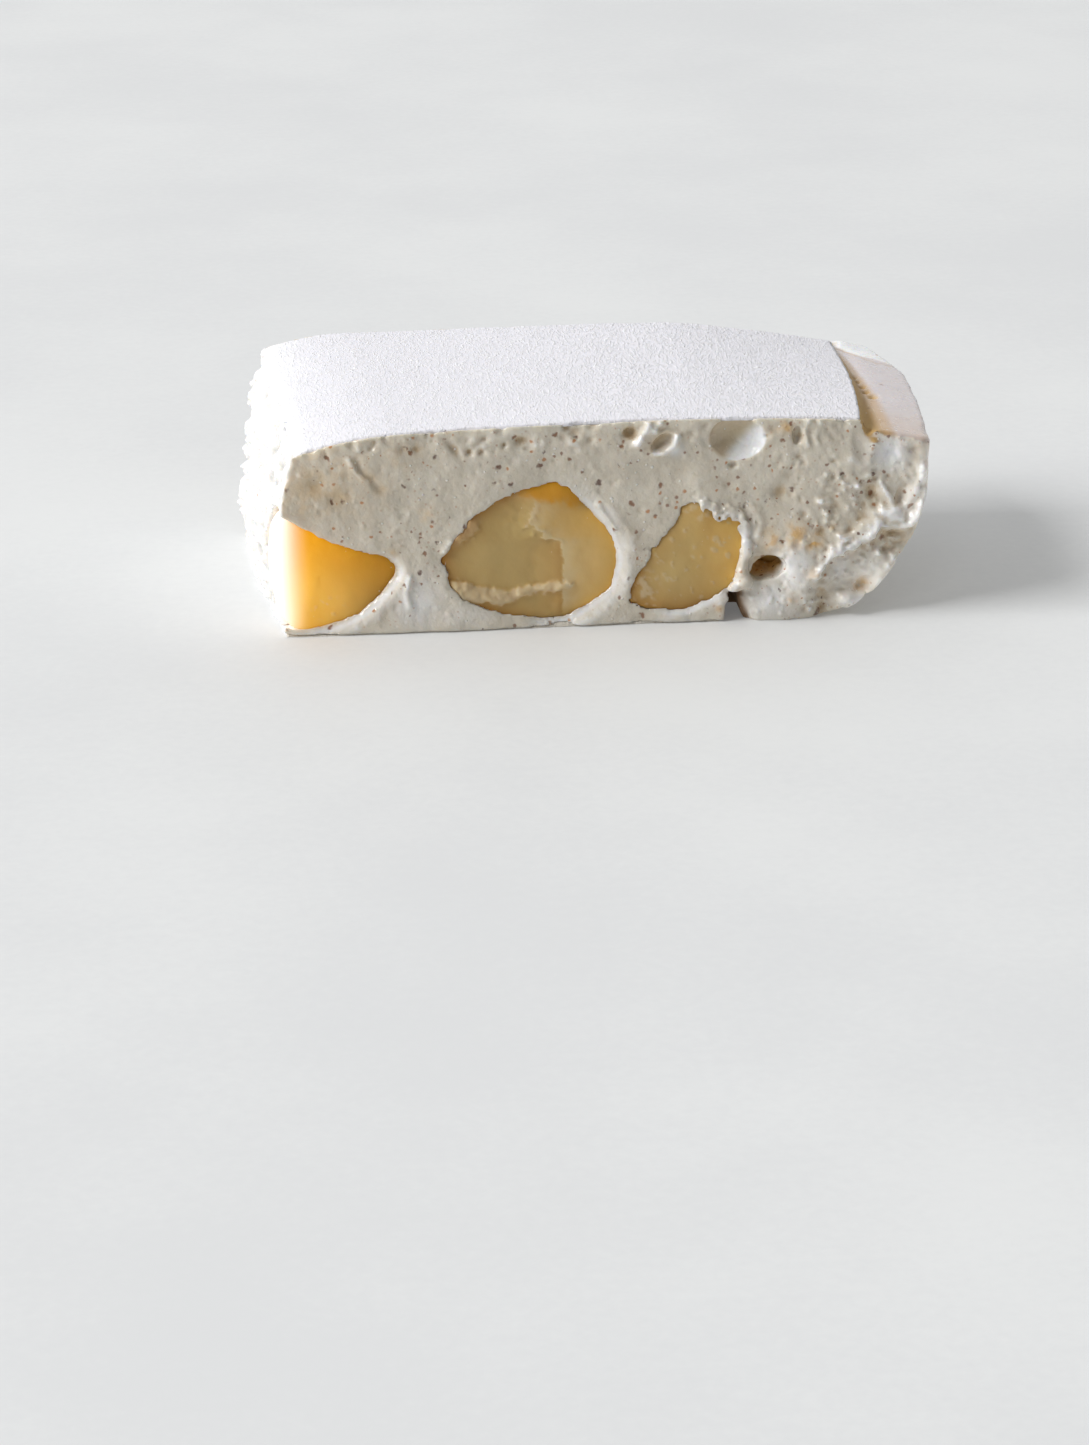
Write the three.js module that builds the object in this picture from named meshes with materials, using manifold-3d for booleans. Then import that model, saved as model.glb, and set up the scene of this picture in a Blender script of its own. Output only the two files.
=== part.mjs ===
// A piece of macadamia nougat, in millimetres, +Z up, resting on its lower sheet of rice paper.
// X runs along the piece, from the end where it was cut off (-X) to the rounded end where the slab met
// the side of its tray (+X). The knife made the faces at -Y and +Y and left each nut that it crossed
// with a flat face. The origin is the middle of the bounding box's base.
import * as THREE from 'three';
import { mergeVertices } from 'three/addons/utils/BufferGeometryUtils.js';
import Module from 'manifold-3d';

const { lerp, smoothstep } = THREE.MathUtils;
const wasm = await Module();
wasm.setup();

// ---- driving dimensions ----

const DEPTH = 32; // between the two knife cuts
const HEIGHT = 22.5; // to the crown of the upper sheet
const PAPER = 0.45; // one sheet of rice paper
const SEAM = 0.1; // between a sheet and the nougat
const SOCKET = 0.25; // between a nut and the nougat round it
const INSET = 0.15; // how far a cut nut lies behind the nougat's face

const CUT_END = -30.3; // the -X end's top edge, at the -Y face
const CUT_END_SLANT = 2.1; // how much further -X that edge lies at the +Y face
const CUT_END_FOOT = 3.3; // how much further -X the foot lies than the top edge
const CUT_END_TOP = 20.5; // height of the top edge
const TRAY_END = 33.25; // the +X end at its fullest, at the -Y face
const TRAY_END_SLANT = 1.9; // how much further +X it lies towards the +Y face
const FAR_CORNER = 8; // from this Y on, the corner between the +X end and the +Y face is cut off
const FAR_CORNER_CUT = 2.85; // how far the corner has come back at the +Y face
const TRAY_END_TOP = 18; // height of the tray end's top edge, about
const TRAY_ROUND_HEIGHT = 14.5; // the tray end curves in below this height
const TRAY_ROUND = 7.6; // how far it has curved in at the base
const UPPER_PAPER_END = 28.4; // the upper sheet stops short of the tray end, at the +Y face
const UPPER_PAPER_SETBACK = 2.3; // how much sooner it stops at the -Y face
const LOWER_PAPER_END = 12.4; // the lower sheet tore off beside the crack

// Cells of the nougat's faces. The first 32 columns along X lie under the upper sheet.
const CELLS = { along: 39, across: 9, up: 12 };
const COLUMNS_UNDER_PAPER = 32;

// ---- noise ----

// A repeatable value from -1 to 1 for each point of a whole-number lattice.
function latticeValue(i, j, k) {
  let h = Math.imul(i, 374761393) ^ Math.imul(j, 668265263) ^ Math.imul(k, 2147483647);
  h = Math.imul(h ^ (h >>> 13), 1274126177);
  return ((h ^ (h >>> 16)) >>> 0) / 2147483648 - 1;
}

// Smooth noise from -1 to 1, with lumps about one grain across.
function lumps(x, y, z, grain) {
  const p = [x / grain, y / grain, z / grain];
  const cell = p.map(Math.floor);
  const f = p.map((value, axis) => smoothstep(value - cell[axis], 0, 1));
  const corner = (a, b, c) => latticeValue(cell[0] + a, cell[1] + b, cell[2] + c);
  const edge = (b, c) => lerp(corner(0, b, c), corner(1, b, c), f[0]);
  return lerp(lerp(edge(0, 0), edge(1, 0), f[1]), lerp(edge(0, 1), edge(1, 1), f[1]), f[2]);
}

// ---- the outer form of the piece ----

const ramp = (value, from, to) => Math.max(0, (value - from) / (to - from));
const shareBack = (y) => (y + DEPTH / 2) / DEPTH;

// Height of the upper sheet's outer face. It crowns, and sags towards both ends.
function crown(x, y) {
  const back = shareBack(y);
  const bow = lerp(0.0008 * (x - 8) ** 2, 0.0003 * x ** 2, back);
  const sagAtCutEnd = lerp(1.9, 1.3, back) * ramp(-x, lerp(20, 22.5, back), 32) ** 2;
  const sagAtTrayEnd = lerp(0.3, 2.05, back) * ramp(x, 10, 26) ** 1.4;
  return HEIGHT - lerp(0.8, 0, back) - bow - sagAtCutEnd - sagAtTrayEnd;
}

// Height of the bare nougat beyond the upper sheet, with the furrow that runs beside the sheet.
function bareTop(x, y) {
  const back = shareBack(y);
  const slope = lerp(1.25, 0.85, back) * ramp(x, 27, 34) ** lerp(1, 2, back);
  const furrow = lerp(0.4, 0, back) * Math.exp(-(((x - upperPaperEnd(y) - 1) / 0.8) ** 2));
  return lerp(19.85, 19.5, back) - slope - furrow;
}

const upperPaperEnd = (y) => UPPER_PAPER_END - UPPER_PAPER_SETBACK * (1 - shareBack(y)) ** 2.2;

// Height of the underside, which lifts a little at both ends.
const underside = (x) => 1.1 * ramp(x, 21, 25.6) ** 2 + 0.5 * ramp(-x, 27, 32) ** 2;

// The end that was cut off by hand: it leans out to its foot, bulges, and is rough all over.
function cutEnd(y, z) {
  const back = shareBack(y);
  const height = THREE.MathUtils.clamp(z / CUT_END_TOP, 0, 1);
  const lean = 1 - height ** 3;
  const foot = CUT_END_FOOT * (0.4 + 0.6 * (1 - (1 - back) ** 2.6));
  const belly = 0.6 * (1 - back) * Math.sin(Math.PI * height);
  return CUT_END - CUT_END_SLANT * back - lean * (foot - CUT_END_SLANT * 0.4 * back) - belly;
}

function trayEnd(y, z) {
  const under = Math.max(0, 1 - z / TRAY_ROUND_HEIGHT) ** 1.7;
  const back = shareBack(y);
  const corner = FAR_CORNER_CUT * ramp(y, FAR_CORNER, DEPTH / 2);
  return TRAY_END + TRAY_END_SLANT * (1 - (1 - back) ** 2) - corner - TRAY_ROUND * under;
}

// How far the nougat stands out of a knife cut near the tray end: a fold climbs to the right, and the
// nougat under it is set back.
function fold(x, z) {
  const height = 5.4 + 0.7 * (x - 22);
  const setBack = 1.2 * (1 - smoothstep(z, height - 1, height));
  const crest = 0.4 * Math.exp(-(((z - height - 0.4) / 0.7) ** 2));
  return smoothstep(x, 20.5, 23.5) * (crest - setBack);
}

const crags = (x, y, z) => 0.2 * lumps(x, y, z, 3.4) + 0.12 * lumps(x, y, z, 1.7);

// The knife cuts: side -1 is the -Y face, and side 1 the +Y face.
function knifeCut(side, x, z) {
  const relief = (side < 0 ? 1 : 0.5) * fold(x, z) + crags(x, 20 * side, z);
  return side * (DEPTH / 2 + relief);
}

// ---- meshes and solids ----

// A box of cells whose points, in shares from 0 to 1 along X, Y and Z, are put in place by a function.
function mappedBox(cells, place) {
  const box = new THREE.BoxGeometry(1, 1, 1, cells.along, cells.across, cells.up);
  const points = box.getAttribute('position');
  for (let i = 0; i < points.count; i += 1) {
    const put = place(points.getX(i) + 0.5, points.getY(i) + 0.5, points.getZ(i) + 0.5);
    points.setXYZ(i, ...put);
  }
  return box;
}

function solidOf(geometry) {
  const bare = geometry.index ? geometry.clone() : geometry;
  bare.deleteAttribute('normal');
  bare.deleteAttribute('uv');
  const merged = mergeVertices(bare, 1e-4);
  return new wasm.Manifold(new wasm.Mesh({
    numProp: 3,
    vertProperties: merged.getAttribute('position').array,
    triVerts: new Uint32Array(merged.index.array),
  }));
}

function geometryOf(solid) {
  const { vertProperties, triVerts } = solid.getMesh();
  const geometry = new THREE.BufferGeometry();
  geometry.setAttribute('position', new THREE.BufferAttribute(vertProperties, 3));
  geometry.setIndex(new THREE.BufferAttribute(triVerts, 1));
  geometry.computeVertexNormals();
  return geometry;
}

const uprightTurn = (degrees) => new THREE.Matrix4().makeRotationY(THREE.MathUtils.degToRad(degrees));

// A ball squashed to three radii, turned about Y and set at a point.
function pebble({ at, radii, turn = 0, sides = 10 }) {
  const ball = new THREE.SphereGeometry(1, sides, Math.round(sides * 0.7));
  ball.scale(...radii).applyMatrix4(uprightTurn(turn)).translate(...at);
  return solidOf(ball);
}

// ---- nuts ----

// Each kernel is an egg: radii[0] is its half length towards +X, and tip towards -X. A halved one is
// flat on the side that `halved` points to, flatAt from its middle.
const KERNELS = {
  nut_left: {
    at: [-29.4, -15, 9.1], radii: [9.7, 8.2, 8.5], halved: [0.42, 0, 0.91], flatAt: 2.2,
  },
  nut_middle: { at: [-5.4, -15, 8], radii: [7.4, 8.4, 7.2], tip: 10.3, hollow: true },
  nut_right: {
    at: [8, -15, 7.6], radii: [6.7, 7.6, 6.2], halved: [-0.85, 0, 0.53], flatAt: 2.1,
  },
  nut_deep: { at: [19.6, -8.6, 7.4], radii: [4.6, 4.9, 4.4] },
  nut_back_left: {
    at: [-13, 14.8, 9.4], radii: [7.2, 7.9, 7.3], tip: 8.6, halved: [0.6, 0, 0.8], flatAt: 3.4,
  },
  nut_back_right: { at: [10.5, 14.6, 10.2], radii: [8, 8.2, 6.9], tip: 8.9 },
};

// A kernel grown by some distance: 0 for the nut itself, SOCKET for the space it sits in.
function kernel({ at, radii, tip = radii[0], halved, flatAt }, grown) {
  const egg = new THREE.SphereGeometry(1, 18, 12);
  const points = egg.getAttribute('position');
  const p = new THREE.Vector3();
  for (let i = 0; i < points.count; i += 1) {
    p.fromBufferAttribute(points, i);
    const uneven = 1 + 0.025 * lumps(p.x + at[0], p.y + at[1], p.z + at[2], 0.8);
    const long = p.x < 0 ? tip : radii[0];
    points.setXYZ(
      i,
      p.x * (long * uneven + grown),
      p.y * (radii[1] * uneven + grown),
      p.z * (radii[2] * uneven + grown),
    );
  }
  egg.translate(...at);
  const whole = solidOf(egg);
  if (!halved) return whole;
  const away = new THREE.Vector3(...halved).normalize();
  const reach = 2 * Math.max(...radii);
  const block = new THREE.BoxGeometry(2 * reach, 2 * reach, 2 * reach)
    .translate(0, 0, reach)
    .applyQuaternion(new THREE.Quaternion().setFromUnitVectors(new THREE.Vector3(0, 0, 1), away))
    .translate(...away.clone().multiplyScalar(flatAt + grown).add(new THREE.Vector3(...at)).toArray());
  return whole.subtract(solidOf(block));
}

// The form of the whole piece, INSET within the nougat's faces: it gives the nuts their cut faces.
function trimForm() {
  const floor = PAPER + 2 * SEAM;
  const depth = DEPTH - 2 * INSET;
  return solidOf(mappedBox({ along: 24, across: 8, up: 8 }, (u, v, w) => {
    const y = depth * (v - 0.5);
    const z = lerp(floor, HEIGHT - 2, w);
    return [lerp(cutEnd(y, z) + INSET, trayEnd(y, z) - INSET, u), y, z];
  }));
}

// The middle nut's face: one seed half has come away from the left of it and left a smooth hollow that
// ends in a step, with a curl of shaved nut lying across.
function hollowOut(nut) {
  const bowl = pebble({ at: [-7, -17.2, 8], radii: [8.4, 2.5, 7], sides: 22 });
  const step = solidOf(new THREE.BoxGeometry(20, 10, 20).translate(-3.6 - 10, -17, 8));
  const line = new THREE.CatmullRomCurve3([
    [-14.2, -15.2, 5.1], [-12.3, -15.3, 4.1], [-10, -15.3, 3.7], [-7, -15.4, 4.1], [-2.6, -15.7, 4.9],
  ].map((p) => new THREE.Vector3(...p)));
  const section = new THREE.Shape().absarc(0, 0, 0.42, 0, 2 * Math.PI);
  const curl = new THREE.ExtrudeGeometry(section, { steps: 10, curveSegments: 4, extrudePath: line });
  return nut.subtract(bowl.intersect(step)).add(solidOf(curl));
}

function makeNut(spec, trim) {
  const nut = kernel(spec, 0).intersect(trim);
  return spec.hollow ? hollowOut(nut) : nut;
}

// ---- nougat ----

// The columns of cells are spread so that one stands at the end of the upper sheet. Their tops lie
// under the sheet up to there, and on the bare top beyond.
function rawNougat() {
  const sheetShare = COLUMNS_UNDER_PAPER / CELLS.along;
  return solidOf(mappedBox(CELLS, (u, v, w) => {
    const y = lerp(-DEPTH / 2, DEPTH / 2, v);
    const level = CUT_END_TOP * w;
    const torn = 0.55 * lumps(-60, 1.3 * y, 1.3 * level, 3) + 0.25 * lumps(-60, y, level, 1.7);
    const start = cutEnd(y, level) + torn;
    const end = trayEnd(y, TRAY_END_TOP * w);
    const sheetEnd = lerp(lerp(start, end, sheetShare), upperPaperEnd(y), w);
    const underSheet = u <= sheetShare + 1e-6;
    const x = underSheet
      ? lerp(start, sheetEnd, u / sheetShare)
      : lerp(sheetEnd, end, (u - sheetShare) / (1 - sheetShare));
    const top = underSheet ? crown(x, y) - PAPER - SEAM : bareTop(x, y);
    const z = lerp(underside(x), top, w);
    return [x, lerp(knifeCut(-1, x, z), knifeCut(1, x, z), v), z];
  }));
}

// Air bubbles that a cut has opened. The largest lies right under the upper sheet, and the last one
// on the -Y face where the furrow runs out of it.
const BUBBLES = [
  { at: [13.7, -16.2, 19.7], radii: [3, 2.6, 2], turn: 8, sides: 16 },
  { at: [6.2, -16.2, 19.2], radii: [1.35, 1.6, 0.8], turn: -42 },
  { at: [3, -16.1, 20], radii: [0.8, 1.1, 1] },
  { at: [19.8, -16.1, 19.4], radii: [0.7, 1.1, 1.1] },
  { at: [27.7, -16.4, 18.7], radii: [0.9, 1, 1.2], turn: -20 },
  { at: [-19, 16.2, 18.4], radii: [1.7, 1.8, 1.2], turn: 20 },
  { at: [24, 16.2, 12.6], radii: [1.4, 1.6, 1.8] },
];

// The crack in the -Y face: it opens downwards beside a rounded lobe of nougat.
function crack() {
  const profile = new THREE.Shape();
  profile.moveTo(12.5, -1);
  profile.lineTo(13, 1.3);
  profile.lineTo(13.5, 3.6);
  profile.quadraticCurveTo(14, 3.8, 14.2, 2.9);
  profile.quadraticCurveTo(14.5, 0.6, 16.2, -1);
  profile.closePath();
  const slot = new THREE.ExtrudeGeometry(profile, { depth: 7.5, bevelEnabled: false, curveSegments: 5 });
  slot.rotateX(Math.PI / 2).translate(0, -10.5, 0);
  return solidOf(slot);
}

// The space under the nougat that the lower sheet takes up.
function lowerPaperSpace() {
  const long = 60;
  const box = new THREE.BoxGeometry(long, DEPTH + 10, 2);
  box.translate(LOWER_PAPER_END + 0.5 - long / 2, 0, PAPER + SEAM - 1);
  return solidOf(box);
}

function makeNougat() {
  const bead = pebble({ at: [14.6, -16.1, 5], radii: [0.7, 0.8, 1.7], turn: -8 });
  const nubbin = pebble({ at: [25.4, -14.9, 1.6], radii: [0.6, 0.8, 0.8] });
  const openings = [
    pebble({ at: [17.3, -15.9, 5.7], radii: [1.75, 4.4, 1.1], turn: -12, sides: 14 }),
    crack(),
    lowerPaperSpace(),
    ...BUBBLES.map(pebble),
    ...Object.values(KERNELS).map((spec) => kernel(spec, SOCKET)),
  ];
  let nougat = rawNougat().add(bead).add(nubbin);
  for (const opening of openings) nougat = nougat.subtract(opening);
  const [largest] = nougat.decompose().sort((one, other) => other.volume() - one.volume());
  return largest;
}

// ---- rice paper ----

function makeUpperPaper() {
  const cells = { along: COLUMNS_UNDER_PAPER, across: CELLS.across, up: 1 };
  return solidOf(mappedBox(cells, (u, v, w) => {
    const y = lerp(-DEPTH / 2, DEPTH / 2, v);
    const x = lerp(cutEnd(y, CUT_END_TOP), upperPaperEnd(y), u);
    const top = crown(x, y);
    return [x, lerp(knifeCut(-1, x, top), knifeCut(1, x, top), v), top - PAPER * (1 - w)];
  }));
}

function makeLowerPaper() {
  const cells = { along: 22, across: 12, up: 1 };
  return solidOf(mappedBox(cells, (u, v, w) => {
    const y = lerp(-DEPTH / 2, DEPTH / 2, v);
    const torn = LOWER_PAPER_END - 0.3 + 0.7 * lumps(0, y, 0, 1.5);
    const x = lerp(cutEnd(y, 0) + 0.4, torn, u);
    return [x, lerp(knifeCut(-1, x, 0), knifeCut(1, x, 0), v), PAPER * w];
  }));
}

// ---- the assembled piece ----

const nougatWhite = new THREE.MeshStandardMaterial({ color: 0xe9e6dd, roughness: 0.55, metalness: 0 });
const paperWhite = new THREE.MeshStandardMaterial({ color: 0xf3f1f2, roughness: 0.9, metalness: 0 });
const nutCream = new THREE.MeshStandardMaterial({ color: 0xdcb878, roughness: 0.35, metalness: 0 });
const nutGolden = new THREE.MeshStandardMaterial({ color: 0xe2a63c, roughness: 0.35, metalness: 0 });

const piece = new THREE.Group();

function addPart(name, solid, material) {
  const mesh = new THREE.Mesh(geometryOf(solid), material);
  mesh.name = name;
  piece.add(mesh);
}

const trim = trimForm();
addPart('nougat', makeNougat(), nougatWhite);
addPart('paper_top', makeUpperPaper(), paperWhite);
addPart('paper_bottom', makeLowerPaper(), paperWhite);
for (const [name, spec] of Object.entries(KERNELS)) {
  addPart(name, makeNut(spec, trim), name === 'nut_left' ? nutGolden : nutCream);
}

const bounds = new THREE.Box3().setFromObject(piece);
const middle = bounds.getCenter(new THREE.Vector3());
piece.position.set(-middle.x, -middle.y, -bounds.min.z);

export default piece;
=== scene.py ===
import math

import bpy
import numpy as np
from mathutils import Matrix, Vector


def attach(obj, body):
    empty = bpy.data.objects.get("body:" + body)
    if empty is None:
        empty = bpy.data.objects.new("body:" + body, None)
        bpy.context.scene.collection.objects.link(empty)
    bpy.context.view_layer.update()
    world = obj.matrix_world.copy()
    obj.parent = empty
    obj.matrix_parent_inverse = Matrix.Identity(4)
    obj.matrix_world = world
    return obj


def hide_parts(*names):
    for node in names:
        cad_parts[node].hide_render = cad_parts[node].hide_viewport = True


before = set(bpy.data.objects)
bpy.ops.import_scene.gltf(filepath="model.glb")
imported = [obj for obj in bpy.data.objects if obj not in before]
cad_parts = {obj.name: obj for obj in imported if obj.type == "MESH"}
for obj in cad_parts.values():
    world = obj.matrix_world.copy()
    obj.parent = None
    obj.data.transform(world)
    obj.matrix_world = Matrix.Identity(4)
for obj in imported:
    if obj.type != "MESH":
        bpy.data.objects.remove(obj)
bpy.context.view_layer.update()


# ---- Macadamia kernels ----------------------------------------------------------------------------
# Roasted macadamias stirred into the hot nougat whole or halved. The knife shaved those that lay in its
# way: waxy cream inside, golden where the flesh is thin, with a few flakes dragged over the cut.

MM = 0.001
HALF = 16.0  # from the middle to each knife cut, in mm, as all sizes below
DEPTH = 2.0 * HALF
PAPER = 0.45
CUT_END_TOP = 20.5
MIDDLE_OF_BOX = np.array([-0.103, -0.3049, 0.0])  # the CAD origin, seen from the middle between the cuts


def mix(a, b, share):
    return a + (b - a) * share


def ease(value, start, stop):
    t = np.clip((value - start) / (stop - start), 0.0, 1.0)
    return t * t * (3.0 - 2.0 * t)


# 1 where an offset is 0, falling off smoothly on both sides within about its width.
def bell(offset, width):
    return np.exp(-((offset / width) ** 2))


# Smooth noise from -1 to 1 over points in space: lumps about one grain across.
def lumps(x, y, z, grain, seed):
    shape = np.broadcast(x, y, z).shape
    cells = []
    parts = []
    for value in (x, y, z):
        scaled = np.broadcast_to(value, shape) / grain + 1000.0
        whole = np.floor(scaled)
        t = scaled - whole
        cells.append(whole.astype(np.uint32))
        parts.append(t * t * t * (t * (t * 6.0 - 15.0) + 10.0))
    total = np.zeros(shape)
    for corner in range(8):
        step = [(corner >> axis) & 1 for axis in range(3)]
        key = (cells[0] + np.uint32(step[0])) * np.uint32(374761393)
        key = key ^ ((cells[1] + np.uint32(step[1])) * np.uint32(668265263))
        key = key ^ ((cells[2] + np.uint32(step[2])) * np.uint32(2147483647))
        key = key + np.uint32(seed * 97 + 13) * np.uint32(2654435761)
        key = (key ^ (key >> np.uint32(13))) * np.uint32(1274126177)
        key = (key ^ (key >> np.uint32(16))) * np.uint32(2246822519)
        value = (key ^ (key >> np.uint32(15))).astype(np.float64) / 2147483648.0 - 1.0
        weight = 1.0
        for axis in range(3):
            weight = weight * (parts[axis] if step[axis] else 1.0 - parts[axis])
        total += weight * value
    return total


# The same with finer and weaker grains added, each turned against the one before.
def rough(x, y, z, grain, octaves, seed):
    total = 0.0
    for octave in range(octaves):
        x, y, z = 0.8 * x + 0.6 * z, y + 0.3 * x, 0.8 * z - 0.6 * x
        total = total + lumps(x, y, z, grain / 2.03**octave, seed + octave) * 0.55**octave
    return total


def smooth_max(a, b, width):
    overlap = np.maximum(width - np.abs(a - b), 0.0)
    return np.maximum(a, b) + overlap**2 / (4.0 * width)


def smooth_min(a, b, width):
    return -smooth_max(-a, -b, width)


# The torn end, where the bar was pulled apart: leaning, with a foot that reaches out at the far side.
def cut_end(y, z):
    back = np.clip((y + HALF) / DEPTH, 0.0, 1.0)
    height = np.clip(z / CUT_END_TOP, 0.0, 1.0)
    foot = 3.3 * (0.4 + 0.6 * (1.0 - (1.0 - back) ** 2.6))
    belly = 0.6 * (1.0 - back) * np.sin(np.pi * height)
    top_edge = -30.3 - 2.1 * back
    return top_edge - (1.0 - height**3) * (foot - 0.84 * back) - belly


# A kernel's outline is its reach from a middle point in each of 120 directions: from points along the
# cut edge, or from a reach to the right, to the left and up, with a flat side if one is given.
DIRECTIONS = np.linspace(-np.pi, np.pi, 121)


def traced(middle, points):
    closed = np.array(points + points[:1]) - np.array(middle)
    along = np.arange(0.0, len(points), 0.2)
    offsets = np.stack([np.interp(along, np.arange(len(closed)), closed[:, axis]) for axis in (0, 1)], 1)
    angle = np.arctan2(offsets[:, 1], offsets[:, 0])
    order = np.argsort(angle)
    reach = np.interp(DIRECTIONS, angle[order], np.hypot(*offsets.T)[order], period=2.0 * np.pi)
    ring = reach[:-1]
    ring = 0.5 * ring + 0.25 * (np.roll(ring, 1) + np.roll(ring, -1))
    return np.append(ring, ring[0])


def egg(right, left, height, flat_towards=None, flat_at=0.0):
    along = np.where(np.cos(DIRECTIONS) > 0.0, right, left)
    reach = 1.0 / np.hypot(np.cos(DIRECTIONS) / along, np.sin(DIRECTIONS) / height)
    if flat_towards is not None:
        facing = np.cos(DIRECTIONS - flat_towards)
        reach = np.minimum(reach, np.where(facing > 0.05, flat_at / np.maximum(facing, 0.05), 99.0))
    return reach


LEFT_CUT = [
    (-32.1, 13.1), (-29.7, 11.5), (-27.6, 10.4), (-25.9, 9.7), (-23.9, 8.9), (-21.3, 8.2), (-20.1, 6.9),
    (-20.3, 6.0), (-21.8, 4.1), (-23.6, 2.5), (-25.4, 1.5), (-27.3, 0.9), (-29.5, 0.65), (-32.0, 0.7),
    (-36.0, 2.4), (-38.5, 7.0), (-36.0, 12.0),
]
MIDDLE_CUT = [
    (-15.7, 7.4), (-15.3, 8.6), (-13.3, 10.7), (-12.5, 12.3), (-10.5, 13.7), (-7.7, 14.7), (-5.3, 15.4),
    (-4.1, 15.3), (-3.0, 14.9), (-1.6, 13.1), (0.6, 10.6), (1.8, 7.8), (1.9, 6.7), (1.1, 3.7), (-1.8, 1.8),
    (-3.4, 0.95), (-6.5, 1.0), (-9.8, 1.55), (-12.9, 2.8), (-14.7, 4.5), (-15.3, 5.6),
]
RIGHT_CUT = [
    (10.1, 13.1), (8.7, 12.6), (7.8, 10.9), (5.6, 7.9), (3.7, 4.5), (3.1, 2.6), (5.2, 1.7), (7.4, 1.4),
    (9.1, 1.5), (12.2, 3.0), (13.3, 3.8), (14.3, 7.2), (14.8, 9.5), (14.3, 10.8), (13.5, 11.5),
    (12.5, 11.1), (11.5, 11.5), (10.9, 12.5),
]
# Each kernel: its middle, its outline and half its depth.
KERNELS = {
    "nut_left": ((-28.0, -15.0, 6.4), traced((-28.0, 6.4), LEFT_CUT), 8.2),
    "nut_middle": ((-7.0, -15.0, 8.0), traced((-7.0, 8.0), MIDDLE_CUT), 8.4),
    "nut_right": ((9.2, -15.0, 7.0), traced((9.2, 7.0), RIGHT_CUT), 7.6),
    "nut_deep": ((19.6, -8.6, 7.4), egg(4.6, 4.6, 4.4), 4.9),
    "nut_back_left": ((-13.0, 14.8, 9.4), egg(7.2, 8.6, 7.3, math.atan2(0.8, 0.6), 3.4), 7.9),
    "nut_back_right": ((10.5, 14.6, 10.2), egg(8.0, 8.9, 6.9), 8.2),
}
FRONT_KERNELS = ("nut_left", "nut_middle", "nut_right")
BACK_KERNELS = ("nut_back_left", "nut_back_right")
UNDER_NOUGAT = 0.25  # how far a kernel runs on behind the edge of the nougat


# The knife's path waved a little: how far each cut stands out of its middle plane.
def front_waves(x, z):
    return 0.22 * rough(x, 0.0, z, 7.0, 2, 11) - 0.1


def back_waves(x, z):
    return 0.22 * rough(x, 20.0, z, 7.0, 2, 51) - 0.15


# About how far a point lies outside a kernel, negative inside.
def kernel_field(x, y, z, name):
    middle, reach, half_depth = KERNELS[name]
    dx = x - middle[0]
    dz = z - middle[2]
    edge = np.interp(np.arctan2(dz, dx), DIRECTIONS, reach) + UNDER_NOUGAT
    share = np.sqrt((dx**2 + dz**2) / edge**2 + ((y - middle[1]) / half_depth) ** 2)
    return (share - 1.0) * np.minimum(edge, half_depth)


# Distance in the cut's plane inwards from a kernel's outline.
def inside_outline(x, z, name):
    middle, reach, _ = KERNELS[name]
    angle = np.arctan2(z - middle[2], x - middle[0])
    return np.interp(angle, DIRECTIONS, reach) - np.hypot(x - middle[0], z - middle[2])


# Beside a kernel the knife dragged the nougat into a slope: its direction from the kernel's middle and
# its half spread in degrees, and its depth and width.
SLOPES = {
    "nut_left": (-45.0, 75.0, 0.45, 0.9),
    "nut_middle": (-18.0, 85.0, 0.55, 1.5),
    "nut_right": (-70.0, 60.0, 0.25, 0.7),
}


SLOPE_DEPTH, SLOPE_WIDTH = 2, 3


def slope_depth(x, z, name):
    if name not in SLOPES:
        return np.zeros(np.broadcast(x, z).shape)
    towards, spread, depth, _ = SLOPES[name]
    middle = KERNELS[name][0]
    off = np.degrees(np.arctan2(z - middle[2], x - middle[0])) - towards
    off = np.abs((off + 180.0) % 360.0 - 180.0)
    return depth * (1.0 - ease(off, 0.55 * spread, spread))


# One seed half of the middle kernel came away on the left and left a smooth hollow, which ends in a
# ragged step. Below, the knife dragged a strip of nut paste across both.
STEP = [
    (-3.5, 0.9), (-3.7, 2.5), (-3.6, 5.1), (-3.8, 7.8), (-3.9, 9.0), (-5.0, 9.4), (-5.8, 9.6), (-6.2, 10.3),
    (-6.9, 10.7), (-7.1, 11.5), (-6.8, 12.9), (-6.6, 13.6), (-6.5, 16.0),
]
STRIP_X = [-14.8, -13.7, -12.3, -11.2, -10.0, -8.6, -7.3, -6.0, -4.9, -3.7, -2.5]
STRIP_TOP = [5.7, 5.4, 4.8, 4.6, 4.4, 4.3, 4.5, 4.7, 4.8, 4.9, 5.0]
STRIP_BOTTOM = [4.5, 3.3, 2.8, 2.8, 2.4, 2.8, 3.3, 3.6, 3.5, 3.8, 4.2]


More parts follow.
